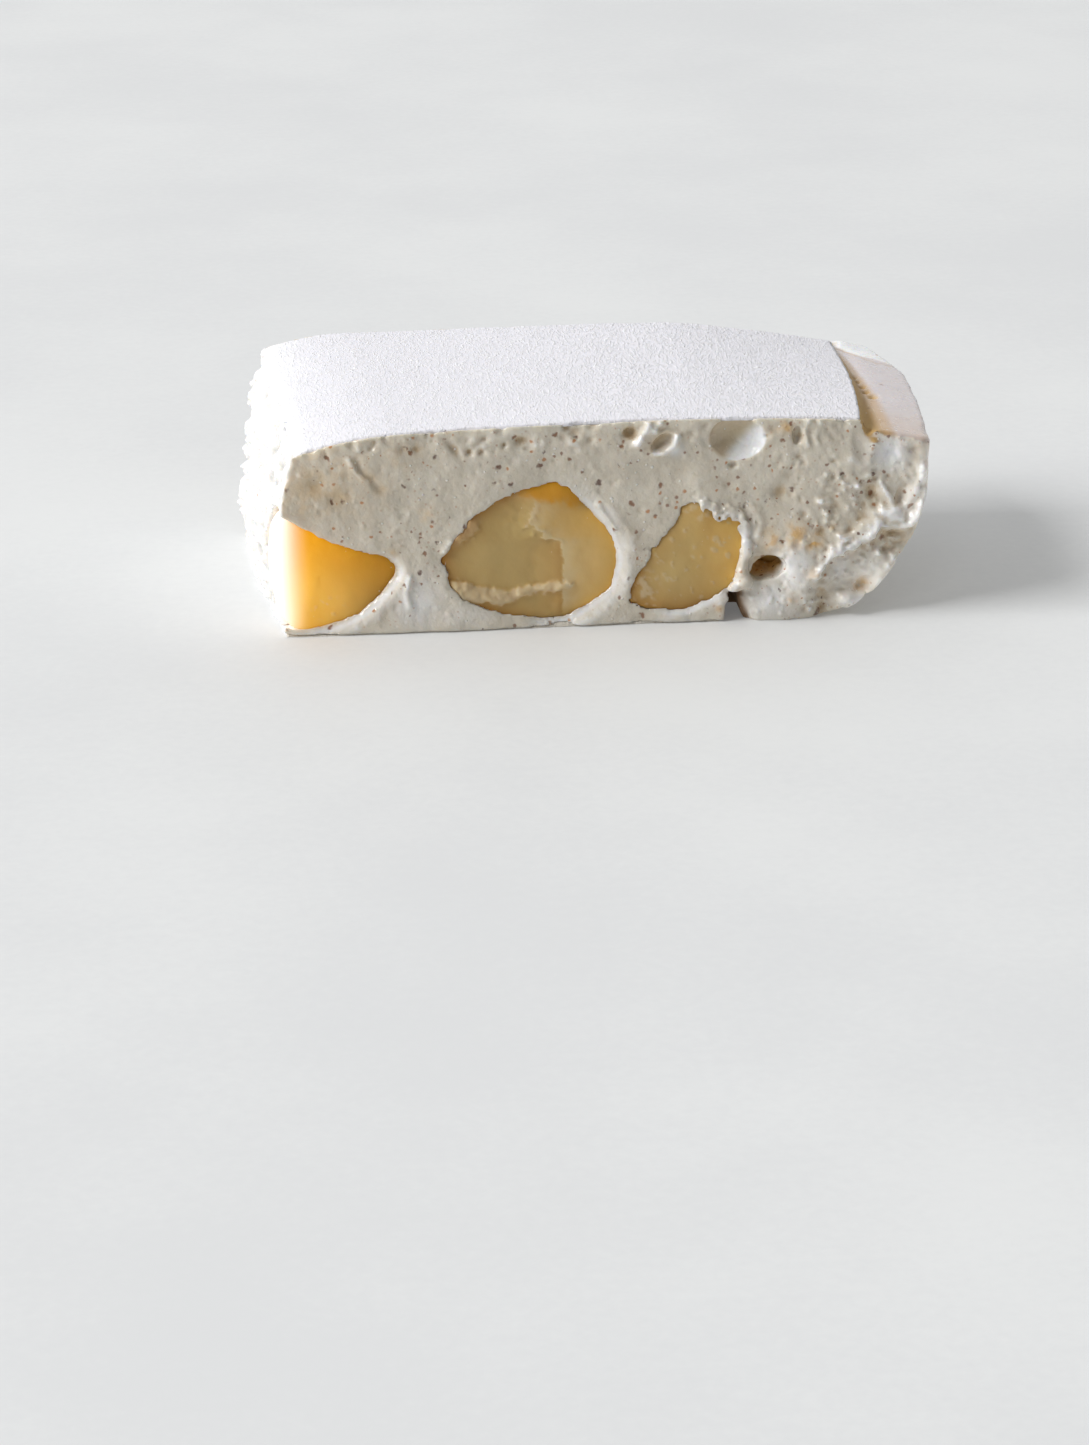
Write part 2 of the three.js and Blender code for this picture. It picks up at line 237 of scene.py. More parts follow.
# How far behind the knife cut a kernel's face lies at each x and z, with masks for its parts.
def cut_level(x, z, name):
    inward = np.maximum(inside_outline(x, z, name), 0.0)
    waves = back_waves(x, z) if name in BACK_KERNELS else front_waves(x, z)
    level = 0.1 - waves + 0.05 * rough(x, 1.0, z, 3.5, 2, 101) + 0.015 * rough(x, 2.0, z, 0.7, 2, 102)
    level = level + slope_depth(x, z, name) * np.exp(-inward / 3.0) + 0.12 * np.exp(-inward / 0.45)
    deep_golden = 0.2 * np.exp(-inward / 0.5) + 0.7 * np.exp(-inward / 2.2)
    masks = {label: 0.0 * x for label in ("hollow", "orange_top", "pale", "paste", "painted_glow", "painted_left_light")}
    masks["deep_golden"] = deep_golden
    if name == "nut_middle":
        step_z = [point[1] for point in STEP]
        step_x = [point[0] for point in STEP]
        wild = ease(z, 8.4, 9.2)
        ragged = mix(0.16, 0.5, wild) * rough(x, 0.0, z, 0.6, 3, 103)
        beyond = np.interp(z, step_z, step_x) + ragged - x
        cap_line = z + 0.18 * (x + 5.0)
        orange_top = ease(cap_line + 0.7 * rough(x, 9.0, z, 1.3, 3, 109), 12.8, 14.0) * ease(x, -9.8, -6.4)
        below_cap = 1.0 - ease(cap_line, 12.6, 14.0)
        hollow = ease(beyond, -0.1, 0.15) * below_cap
        bowl = ease(beyond, -0.2, 1.2) * (0.16 + 0.3 * ease(beyond, 0.2, 4.0))
        bowl = np.maximum(bowl - 0.3 * np.exp(-inward / 0.9), 0.0)
        edge = 0.22 * rough(x, 4.0, z, 0.6, 3, 104)
        in_strip = np.minimum(np.interp(x, STRIP_X, STRIP_TOP) - z, z - np.interp(x, STRIP_X, STRIP_BOTTOM))
        strip = ease(in_strip + edge, -0.1, 0.3) * ease(-x, 2.3, 2.8) * ease(x, -15.2, -14.4)
        middle = KERNELS[name][0]
        angle = np.degrees(np.arctan2(z - middle[2], x - middle[0]))
        in_smear = np.minimum(ease(angle, 138.0, 150.0), 1.0 - ease(angle, 166.0, 176.0))
        smear = ease(1.25 - inward + 2.4 * edge, -0.1, 0.6) * in_smear
        lumpy = 0.1 * rough(x, 6.0, z, 0.7, 3, 105)
        level += below_cap * bowl
        fringe = bell(beyond + 0.5, 0.6) * below_cap * wild
        level -= 0.14 * fringe * (0.6 + 6.0 * lumpy)
        level = mix(level, level - 0.2 - 0.25 * ease(in_strip, 0.0, 0.7) + 1.3 * lumpy, strip)
        level = mix(level, level - 0.3 + lumpy, smear * (1.0 - strip))
        masks["hollow"] = hollow * (1.0 - strip) * (1.0 - orange_top)
        masks["orange_top"] = 0.85 * orange_top
        near_step = np.exp(-np.maximum(-beyond, 0.0) / 2.2)
        masks["pale"] = near_step * (1.0 - hollow) * (1.0 - orange_top) * ease(z, 0.5, 3.0)
        masks["paste"] = np.maximum(strip, np.maximum(0.4 * smear, fringe * (0.35 + 2.5 * lumpy)))
        # Painted shade in the angle beside the step, laid into the dark golden rim.
        painted_angle_shade = 0.55 * np.exp(-np.maximum(beyond, 0.0) / 2.2) * hollow * ease(10.5 - z, 0.0, 2.0)
        deep_golden = 0.65 * np.exp(-inward / 0.7) + 0.4 * np.exp(-inward / 2.0)
        deep_golden = deep_golden * np.maximum(mix(1.0, 0.15, ease(x, -12.0, -1.0)), 0.8 * ease(z, 11.5, 13.5))
        # Painted glow along the middle kernel's right side.
        masks["painted_glow"] = 0.4 * np.exp(-inward / 1.1) * ease(x, -3.6, -1.0) * (1.0 - ease(z, 11.5, 13.0))
        masks["deep_golden"] = np.maximum(deep_golden, painted_angle_shade) * (1.0 - 0.8 * strip)
    if name == "nut_right":
        flaky = ease(rough(x, 7.0, z, 0.7, 3, 106), 0.62, 0.8)
        corner = ease(6.8 - x, 0.0, 1.8) * ease(6.4 - z, 0.0, 1.4)
        flakes = np.maximum(flaky * 0.7, corner * ease(rough(x, 7.0, z, 0.7, 2, 107), -0.1, 0.3))
        level -= 0.08 * flakes
        masks["paste"] = flakes * ease(inward, 0.1, 0.5) * 0.8
        masks["hollow"] = 1.0 - ease(x, 7.5, 14.0)
        masks["deep_golden"] = 0.45 * deep_golden * (1.0 - ease(x, 11.0, 14.0))
        masks["deep_golden"] += 0.5 * deep_golden * ease(7.0 - z - 0.5 * (x - 6.0), 0.0, 4.0)
        # Painted glow along the right kernel's right edge.
        masks["painted_glow"] = 0.35 * np.exp(-inward / 1.4) * ease(x, 11.5, 14.0)
    if name in BACK_KERNELS:
        masks["hollow"] = ease(rough(x, 17.0, z, 7.0, 2, 111), -0.3, 0.1)
        masks["pale"] = 0.7 * (1.0 - masks["hollow"]) * (1.0 - np.exp(-inward / 2.0))
        level += 0.15 * masks["hollow"]
    if name == "nut_left":
        crumbs = ease(rough(x, 8.0, z, 0.5, 2, 108), 0.5, 0.6) * bell(x + 27.3, 1.3) * bell(z - 3.0, 0.9)
        level += 0.25 - 0.2 * crumbs
        masks["paste"] = crumbs
        # Painted glow, brighter towards the torn end.
        masks["painted_glow"] = np.clip((-x + 0.2 * z - 21.5) / 10.0, 0.0, 1.0)
        # On the left kernel the orange upper part is painted light, let in through the torn end.
        masks["orange_top"] = ease(z + 0.4 * (x + 29.0), 4.0, 11.0)
        # The left kernel's left end is painted almost white, as light where it falls strongest.
        masks["painted_left_light"] = ease(-x, 28.8, 32.4)
        masks["deep_golden"] = deep_golden * (1.0 - masks["painted_glow"])
    return level, masks


# The skin of a field where it is 0: one point in each cell that the surface crosses, and one four-sided
# face for each grid edge that it crosses.
def skin_of(field, xs, ys, zs):
    inside = field < 0.0
    size = [length - 1 for length in field.shape]
    corners = [
        inside[a:a + size[0], b:b + size[1], c:c + size[2]] for a in (0, 1) for b in (0, 1) for c in (0, 1)
    ]
    crossed = np.logical_or.reduce(corners) & ~np.logical_and.reduce(corners)
    cells = np.argwhere(crossed)
    number = np.full(crossed.shape, -1, np.int32)
    number[crossed] = np.arange(len(cells))
    total = np.zeros((len(cells), 3))
    hits = np.zeros(len(cells))
    grid = (xs, ys, zs)
    for axis in range(3):
        first, second = (axis + 1) % 3, (axis + 2) % 3
        for corner in range(4):
            start = [cells[:, 0], cells[:, 1], cells[:, 2]]
            start[first] = start[first] + (corner & 1)
            start[second] = start[second] + (corner >> 1)
            stop = list(start)
            stop[axis] = stop[axis] + 1
            low = field[tuple(start)]
            high = field[tuple(stop)]
            hit = (low < 0.0) != (high < 0.0)
            t = np.where(hit, low / np.where(hit, low - high, 1.0), 0.0)
            for a in range(3):
                value = mix(grid[a][start[a]], grid[a][stop[a]], t)
                total[:, a] += np.where(hit, value, 0.0)
            hits += hit
    faces = []
    for axis in range(3):
        order = (axis, (axis + 1) % 3, (axis + 2) % 3)
        low = np.moveaxis(inside, order, (0, 1, 2))
        cell = np.moveaxis(number, order, (0, 1, 2))
        a, b, c = np.nonzero(low[:-1, 1:-1, 1:-1] != low[1:, 1:-1, 1:-1])
        ring = np.stack([cell[a, b, c], cell[a, b + 1, c], cell[a, b + 1, c + 1], cell[a, b, c + 1]], 1)
        inward = ~low[:-1, 1:-1, 1:-1][a, b, c]
        ring[inward] = ring[inward][:, ::-1]
        faces.append(ring)
    return total / hits[:, None], np.concatenate(faces)


# A Blender object from points in mm and four-sided faces, with a mask for each point by name.
def made(name, points, faces, masks):
    mesh = bpy.data.meshes.new(name)
    mesh.vertices.add(len(points))
    mesh.vertices.foreach_set("co", ((points - MIDDLE_OF_BOX) * MM).astype(np.float32).ravel())
    mesh.loops.add(faces.size)
    mesh.loops.foreach_set("vertex_index", faces.astype(np.int32).ravel())
    mesh.polygons.add(len(faces))
    mesh.polygons.foreach_set("loop_start", np.arange(0, faces.size, faces.shape[1], dtype=np.int32))
    mesh.polygons.foreach_set("use_smooth", np.ones(len(faces), bool))
    mesh.update(calc_edges=True)
    mesh.validate()
    for mask_name, values in masks.items():
        mask = mesh.attributes.new(mask_name, "FLOAT", "POINT")
        mask.data.foreach_set("value", np.clip(values, 0.0, 1.0).astype(np.float32))
    piece = bpy.data.objects.new(name, mesh)
    bpy.context.scene.collection.objects.link(piece)
    return piece


# Grid lines from stop to stop, each run with its own step.
def spaced(stops, steps):
    runs = [np.arange(a, b, step) for a, b, step in zip(stops, stops[1:], steps)]
    return np.concatenate(runs + [np.array([stops[-1]])])


def make_kernel(name, cell):
    middle, reach, half_depth = KERNELS[name]
    room = reach.max() + 0.8
    left_of_torn_end = -36.0
    xs = np.arange(max(middle[0] - room, left_of_torn_end), middle[0] + room, cell)
    zs = np.arange(middle[2] - room, middle[2] + room, cell)
    # The grid is finest in the 3 mm behind the knife cut.
    side = 1.0 if middle[1] > 0.0 else -1.0
    inner = middle[1] - side * (half_depth + 0.6)
    outer = side * (HALF + 0.6)
    if name not in FRONT_KERNELS + BACK_KERNELS:
        outer = middle[1] + side * (half_depth + 0.6)
    ys = np.sort(spaced([outer, outer - side * 3.0, inner], [-side * 0.6 * cell, -side * 1.6 * cell]))
    gx, gy, gz = xs[:, None, None], ys[None, :, None], zs[None, None, :]
    field = kernel_field(gx, gy, gz, name) + 0.06 * lumps(gx, gy, gz, 1.6, 110)
    flat_x, flat_z = np.meshgrid(xs, zs, indexing="ij")
    level, _ = cut_level(flat_x, flat_z, name)
    field = smooth_max(field, side * gy - HALF + level[:, None, :], 0.15)
    field = np.maximum(field, PAPER + 0.12 - gz)
    field = smooth_max(field, cut_end(gy, gz) + 0.15 - gx, 2.4)
    points, faces = skin_of(field, xs, ys, zs)
    _, masks = cut_level(points[:, 0], points[:, 2], name)
    return points, faces, masks


# A colour given as 8-bit red, green and blue, as the linear values that Blender works in.
def linear(red, green, blue):
    channels = [value / 255.0 for value in (red, green, blue)]
    return [c / 12.92 if c <= 0.04045 else ((c + 0.055) / 1.055) ** 2.4 for c in channels] + [1.0]


class Nodes:
    """The nodes of one material or group, each made and joined in one call."""

    def __init__(self, tree):
        self.tree = tree

    def add(self, kind, settings=None, **inputs):
        node = self.tree.nodes.new(kind)
        for key, value in (settings or {}).items():
            setattr(node, key, value)
        for key, value in inputs.items():
            socket = node.inputs[int(key[1:])] if key[0] == "_" else node.inputs[key.replace("_", " ")]
            if isinstance(value, bpy.types.NodeSocket):
                self.tree.links.new(value, socket)
            else:
                socket.default_value = value
        return node

    def math(self, operation, a, b):
        return self.add("ShaderNodeMath", {"operation": operation}, _0=a, _1=b).outputs[0]

    def times(self, a, b):
        return self.math("MULTIPLY", a, b)

    def between(self, value, start, stop, low=0.0, high=1.0):
        inputs = {"Value": value, "From_Min": start, "From_Max": stop, "To_Min": low, "To_Max": high}
        return self.add("ShaderNodeMapRange", {"interpolation_type": "SMOOTHSTEP"}, **inputs).outputs[0]

    def blend(self, share, a, b):
        settings = {"data_type": "RGBA", "clamp_factor": True}
        return self.add("ShaderNodeMix", settings, _0=share, _6=a, _7=b).outputs[2]

    def mask(self, name):
        return self.add("ShaderNodeAttribute", {"attribute_name": name}).outputs["Fac"]

    # Lays tints over a colour, one on the other: for each the name of its mask, its strength and its
    # red, green and blue.
    def tinted(self, colour, tints):
        for mask_name, strength, tint in tints:
            colour = self.blend(self.times(self.mask(mask_name), strength), colour, linear(*tint))
        return colour

    def place(self):
        return self.add("ShaderNodeTexCoord").outputs["Object"]

    def noise(self, scale, detail=2.0, roughness=0.5, vector=None):
        inputs = {"Vector": vector or self.place(), "Scale": scale, "Detail": detail, "Roughness": roughness}
        return self.add("ShaderNodeTexNoise", **inputs).outputs["Fac"]


def material_called(name):
    material = bpy.data.materials.new(name)
    material.use_nodes = True
    material.node_tree.nodes.clear()
    return material, Nodes(material.node_tree)


def group_called(name, inputs, outputs):
    tree = bpy.data.node_groups.new(name, "ShaderNodeTree")
    for label, value in inputs:
        tree.interface.new_socket(label, in_out="INPUT", socket_type="NodeSocketFloat").default_value = value
    for label in outputs:
        tree.interface.new_socket(label, in_out="OUTPUT", socket_type="NodeSocketFloat")
    nodes = Nodes(tree)
    return tree, nodes, nodes.add("NodeGroupInput"), nodes.add("NodeGroupOutput")


# Scattered dots of uneven size, gathered in drifts: crumbs on the kernels, vanilla in the nougat.
scatter_tree, nodes, given, result = group_called(
    "scattered_dots", [("Spacing", 1.0), ("Radius", 0.15), ("Share", 0.3), ("Bend", 0.3)], ["Mask", "Shade"]
)
place = nodes.place()
bend_noise = nodes.add("ShaderNodeTexNoise", Vector=place, Scale=2200.0, Detail=1.0)
mean_noise = (0.5, 0.5, 0.5)
off_mean = nodes.add(
    "ShaderNodeVectorMath", {"operation": "SUBTRACT"}, _0=bend_noise.outputs["Color"], _1=mean_noise
)
bend_length = nodes.times(given.outputs["Bend"], MM)
shift = nodes.add("ShaderNodeVectorMath", {"operation": "SCALE"}, _0=off_mean.outputs[0], Scale=bend_length)
bent_place = nodes.add("ShaderNodeVectorMath", {"operation": "ADD"}, _0=place, _1=shift.outputs[0])
per_metre = nodes.math("DIVIDE", 1000.0, given.outputs["Spacing"])
dots = nodes.add("ShaderNodeTexVoronoi", Vector=bent_place.outputs[0], Scale=per_metre)
pick = nodes.add("ShaderNodeSeparateColor", Color=dots.outputs["Color"])
drift = nodes.noise(260.0, 1.0)
chance = nodes.times(given.outputs["Share"], nodes.between(drift, 0.38, 0.62, 0.3, 1.7))
present = nodes.math("LESS_THAN", pick.outputs[0], chance)
share_of_cell = nodes.math("DIVIDE", given.outputs["Radius"], given.outputs["Spacing"])
radius = nodes.times(share_of_cell, nodes.between(pick.outputs[1], 0.0, 1.0, 0.5, 1.15))
nearness = nodes.math("DIVIDE", dots.outputs["Distance"], radius)
spot = nodes.between(nearness, 0.45, 1.25, 1.0, 0.0)
nodes.tree.links.new(nodes.times(spot, present), result.inputs["Mask"])
nodes.tree.links.new(pick.outputs[2], result.inputs["Shade"])


# Spacing and radius are in mm, bend too; share is the part of the places that hold a dot.
def scattered(nodes, spacing, radius, share, bend):
    inputs = {"Spacing": spacing, "Radius": radius, "Share": share, "Bend": bend}
    node = nodes.add("ShaderNodeGroup", {"node_tree": scatter_tree}, **inputs)
    return node.outputs["Mask"], node.outputs["Shade"]


nut_finish, nodes = material_called("macadamia")
cloud = nodes.noise(160.0, 3.0)
colour = nodes.blend(nodes.between(cloud, 0.3, 0.7), linear(220, 178, 98), linear(231, 194, 120))
KERNEL_TINTS = [
    # The dark golden tint is the kernels' rim, and painted shade in the angle at the middle kernel's step.
    ("pale", 0.9, (224, 206, 164)), ("hollow", 0.9, (204, 178, 120)), ("deep_golden", 0.9, (174, 114, 28)),
    # The glow and near white tints are painted light, as is the orange on the left kernel's upper part.
    ("painted_glow", 1.0, (250, 190, 76)), ("orange_top", 0.85, (222, 154, 8)), ("painted_left_light", 1.0, (255, 247, 236)),
    ("paste", 0.85, (212, 192, 158)),
]
colour = nodes.tinted(colour, KERNEL_TINTS)
crumbs, _ = scattered(nodes, 1.3, 0.09, 0.5, 0.1)
colour = nodes.blend(nodes.times(crumbs, 0.7), colour, linear(244, 234, 212))
grain = nodes.noise(700.0, 4.0, 0.6)
height = nodes.math("ADD", nodes.times(crumbs, 0.6), grain)
bump = nodes.add("ShaderNodeBump", Height=height, Strength=0.35, Distance=0.12 * MM)
gloss = nodes.between(nodes.noise(420.0, 2.0), 0.35, 0.7, 0.3, 0.48)
# Painted glow: the left kernel's cut gives off a faint light that stands for light let in through
# the torn end, and the middle and right kernels glow faintly along their right sides.
painted_light = nodes.math("POWER", nodes.mask("painted_glow"), 1.8)
painted_glow = nodes.blend(nodes.mask("orange_top"), linear(255, 194, 66), linear(255, 172, 0))
painted_glow = nodes.blend(nodes.mask("painted_left_light"), painted_glow, linear(160, 150, 140))
painted_glow = nodes.blend(painted_light, linear(0, 0, 0), painted_glow)
shader = nodes.add(
    "ShaderNodeBsdfPrincipled", {"subsurface_method": "RANDOM_WALK"},
    Base_Color=colour, Roughness=gloss, Specular_IOR_Level=0.25, Normal=bump.outputs[0],
    Subsurface_Weight=0.5, Subsurface_Radius=(1.0, 0.75, 0.5), Subsurface_Scale=2.0 * MM,
    Emission_Color=painted_glow, Emission_Strength=0.5,
)
nodes.add("ShaderNodeOutputMaterial", Surface=shader.outputs[0])

kernel_cell = 0.2
for name in KERNELS:
    kernel = made("kernel_" + name[4:], *make_kernel(name, kernel_cell))
    kernel.data.materials.append(nut_finish)
    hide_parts(name)
    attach(kernel, "root")


# ---- Nougat ---------------------------------------------------------------------------------------
# Egg white whipped with hot honey and sugar, poured into a tray between two sheets of rice paper and
# left to set. A knife made the long faces, opened air bubbles in them and dragged the soft mass into
# lips round the nuts. One end was torn off by hand, the other is the skin that lay against the tray.

HEIGHT = 22.5


# 0 before start, then rising evenly and without end, with 1 at stop.
def ramp(value, start, stop):
    return np.maximum(0.0, (value - start) / (stop - start))


# 0 at the front cut, 1 at the back cut.
def share_back(y):
    return (y + HALF) / DEPTH


def upper_paper_end(y):
    return 28.4 - 2.3 * (1.0 - np.clip(share_back(y), 0.0, 1.0)) ** 2.2


# The height of the upper sheet's face.
def crown(x, y):
    back = share_back(y)
    bow = mix(0.0008 * (x - 8.0) ** 2, 0.0003 * x**2, back)
    sag_at_cut_end = mix(1.9, 1.3, back) * ramp(-x, mix(20.0, 22.5, back), 32.0) ** 2
    sag_at_tray_end = mix(0.3, 2.05, back) * ramp(x, 10.0, 26.0) ** 1.4
    return HEIGHT - mix(0.8, 0.0, back) - bow - sag_at_cut_end - sag_at_tray_end


# The height of the nougat where the sheet has ended, with a furrow beside it.
def bare_top(x, y):
    back = np.clip(share_back(y), 0.0, 1.0)
    slope = mix(1.25, 0.85, back) * ramp(x, 27.0, 34.0) ** mix(1.0, 2.0, back)
    furrow = mix(0.45, 0.0, back) * bell(x - upper_paper_end(y) - 1.0, 0.9) * ease(y, -HALF, -12.5)
    notch = 0.55 * bell(x - 27.0, 0.35) * ease(-y, 13.0, 15.8)
    return mix(19.85, 19.5, back) - slope - furrow - notch


def underside(x):
    return 1.1 * ramp(x, 21.0, 25.6) ** 2 + 0.5 * ramp(-x, 27.0, 32.0) ** 2


def tray_end(y, z):
    back = np.clip(share_back(y), 0.0, 1.0)
    under = ramp(-z, -14.5, 0.0) ** 1.7
    far_corner = 2.85 * ease(y, 6.5, 18.5)
    return 33.25 + 1.9 * (1.0 - (1.0 - back) ** 2) - far_corner - 7.6 * under


# A soft round spot, 1 in its middle, as wide and tall as its two sizes and turned by some degrees.
def dab(x, z, at, size, turn=0.0):
    c, s = math.cos(math.radians(turn)), math.sin(math.radians(turn))
    u = (x - at[0]) * c + (z - at[1]) * s
    v = (z - at[1]) * c - (x - at[0]) * s
    return np.exp(-((u / size[0]) ** 2) - ((v / size[1]) ** 2))


# How far each place lies from a line drawn through points.
def from_line(x, z, points):
    nearest = np.full(np.broadcast(x, z).shape, 99.0)
    for (x0, z0), (x1, z1) in zip(points, points[1:]):
        length = (x1 - x0) ** 2 + (z1 - z0) ** 2
        t = np.clip(((x - x0) * (x1 - x0) + (z - z0) * (z1 - z0)) / length, 0.0, 1.0)
        nearest = np.minimum(nearest, np.hypot(x - x0 - t * (x1 - x0), z - z0 - t * (z1 - z0)))
    return nearest


# Small open bubbles with a raised collar, or knobs where the depth is negative, strewn over a window.
def strewn(x, z, count, window, sizes, depth, seed):
    rng = np.random.default_rng(seed)
    relief = np.zeros(np.broadcast(x, z).shape)
    columns = x[:, 0]
    rows = z[0, :]
    for _ in range(count):
        at = rng.uniform(window[0], window[1])
        radius = mix(sizes[0], sizes[1], rng.random() ** 2.0)
        stretch = rng.uniform(1.0, 1.5)
        turn = rng.uniform(-80.0, 20.0)
        reach = 3.0 * radius * stretch
        i = slice(*np.searchsorted(columns, [at[0] - reach, at[0] + reach]))
        k = slice(*np.searchsorted(rows, [at[1] - reach, at[1] + reach]))
        bowl = dab(x[i, k], z[i, k], at, (radius * stretch, radius), turn)
        collar = dab(x[i, k], z[i, k], at, (1.5 * radius * stretch, 1.5 * radius), turn)
        relief[i, k] += depth * radius * (0.5 * collar - 1.3 * bowl)
    return relief


FOLD = [
    (33.4, 12.9), (32.3, 10.4), (31.2, 9.8), (29.9, 9.8), (28.4, 10.1), (28.0, 9.0), (27.0, 8.3),
    (25.3, 7.4), (23.8, 6.9), (22.7, 5.8), (22.1, 4.7),
]
# Ridges that the knife raised: points along the crest, half width and height.
RIDGES = [
    ([(32.8, 15.6), (32.4, 14.0), (31.4, 12.3), (30.2, 11.0), (29.0, 11.2)], 0.6, 0.6),
    ([(28.4, 14.4), (28.9, 13.4), (29.6, 12.6), (29.8, 11.6)], 0.4, 0.5),
    ([(30.2, 10.8), (28.8, 11.3), (27.6, 10.6), (26.2, 9.2), (24.6, 8.6)], 0.5, 0.35),
    ([(25.4, 17.0), (26.6, 16.2), (27.4, 17.2), (27.6, 18.4)], 0.6, 0.25),
    ([(30.6, 7.0), (29.9, 6.0), (29.2, 4.7), (28.4, 3.3), (27.2, 2.3), (25.9, 1.5)], 0.5, 0.35),
    ([(24.9, 6.4), (24.0, 4.9), (23.2, 3.6)], 0.6, 0.2),
    ([(4.9, 21.2), (4.6, 20.3), (3.8, 19.2)], 0.4, 0.45),
    ([(6.1, 21.3), (5.5, 20.5)], 0.35, 0.4),
    ([(5.4, 18.2), (6.5, 18.1), (7.4, 18.8), (7.7, 19.9)], 0.35, 0.4),
    ([(20.9, 21.0), (20.6, 19.8), (20.9, 18.5)], 0.3, 0.28),
    ([(22.1, 20.6), (21.6, 19.4), (21.9, 18.7)], 0.3, 0.22),
    ([(-24.9, 18.6), (-24.2, 17.2), (-23.0, 16.2)], 0.3, 0.25),
    ([(-24.2, 18.5), (-23.6, 17.2), (-22.4, 15.9), (-21.7, 15.1)], 0.35, -0.2),
    ([(-19.0, 5.9), (-19.4, 4.4), (-19.0, 2.9)], 0.35, 0.3),
    ([(15.5, 12.1), (16.4, 10.6), (16.0, 9.2)], 0.4, 0.25),
    ([(-0.1, 12.9), (0.7, 11.7), (1.6, 10.4)], 0.25, 0.25),
    ([(-14.9, 9.5), (-15.6, 8.5)], 0.3, 0.3),
]
# Soft hollows: place, half sizes, turn and depth.
HOLLOWS = [
    ((30.4, 12.5), (0.75, 1.0), 0.0, 0.7), ((27.5, 13.3), (0.7, 0.9), 20.0, 0.4),
    ((18.3, 13.7), (1.1, 0.9), 30.0, 0.5), ((12.9, 14.6), (0.8, 0.5), 0.0, 0.25),
    ((19.2, 15.3), (0.7, 0.6), 0.0, 0.25), ((-28.3, 15.5), (1.3, 1.0), 0.0, 0.35),
    ((-26.4, 14.6), (1.0, 0.7), 0.0, 0.2), ((2.9, 20.3), (0.9, 0.8), 0.0, 0.7),
    ((26.9, 3.1), (0.8, 0.7), 40.0, 0.7), ((-14.4, 19.2), (0.9, 0.3), -50.0, 0.4),
    ((-11.8, 18.9), (0.3, 0.35), 0.0, 0.45), ((-9.5, 19.5), (0.3, 0.35), 0.0, 0.4),
    ((-7.7, 19.7), (1.0, 0.7), 0.0, 0.35), ((-2.5, 20.7), (1.0, 0.4), 0.0, 0.3),
    ((-19.5, 19.5), (0.5, 0.4), 0.0, 0.3), ((23.9, 11.7), (0.7, 0.6), 0.0, 0.3),
]


# Strewn over the front cut: how many, over which window, least and greatest radius, depth and seed.
FRONT_STREWN = [
    (150, ((-31.0, 1.0), (33.0, 21.0)), (0.2, 0.36), 0.5, 41),
    (70, ((18.0, 1.0), (33.0, 18.0)), (0.25, 0.5), 0.8, 42),
    (55, ((-29.0, 18.8), (24.0, 21.2)), (0.22, 0.5), 0.8, 43),
    (150, ((-31.0, 1.0), (33.0, 21.0)), (0.18, 0.28), -0.6, 44),
    (130, ((22.0, 4.0), (33.0, 15.5)), (0.22, 0.42), -0.9, 46),
    (140, ((14.0, 0.5), (31.0, 8.5)), (0.2, 0.36), -0.9, 47),
    (40, ((22.0, 1.0), (31.0, 8.0)), (0.25, 0.4), 0.8, 50),
]


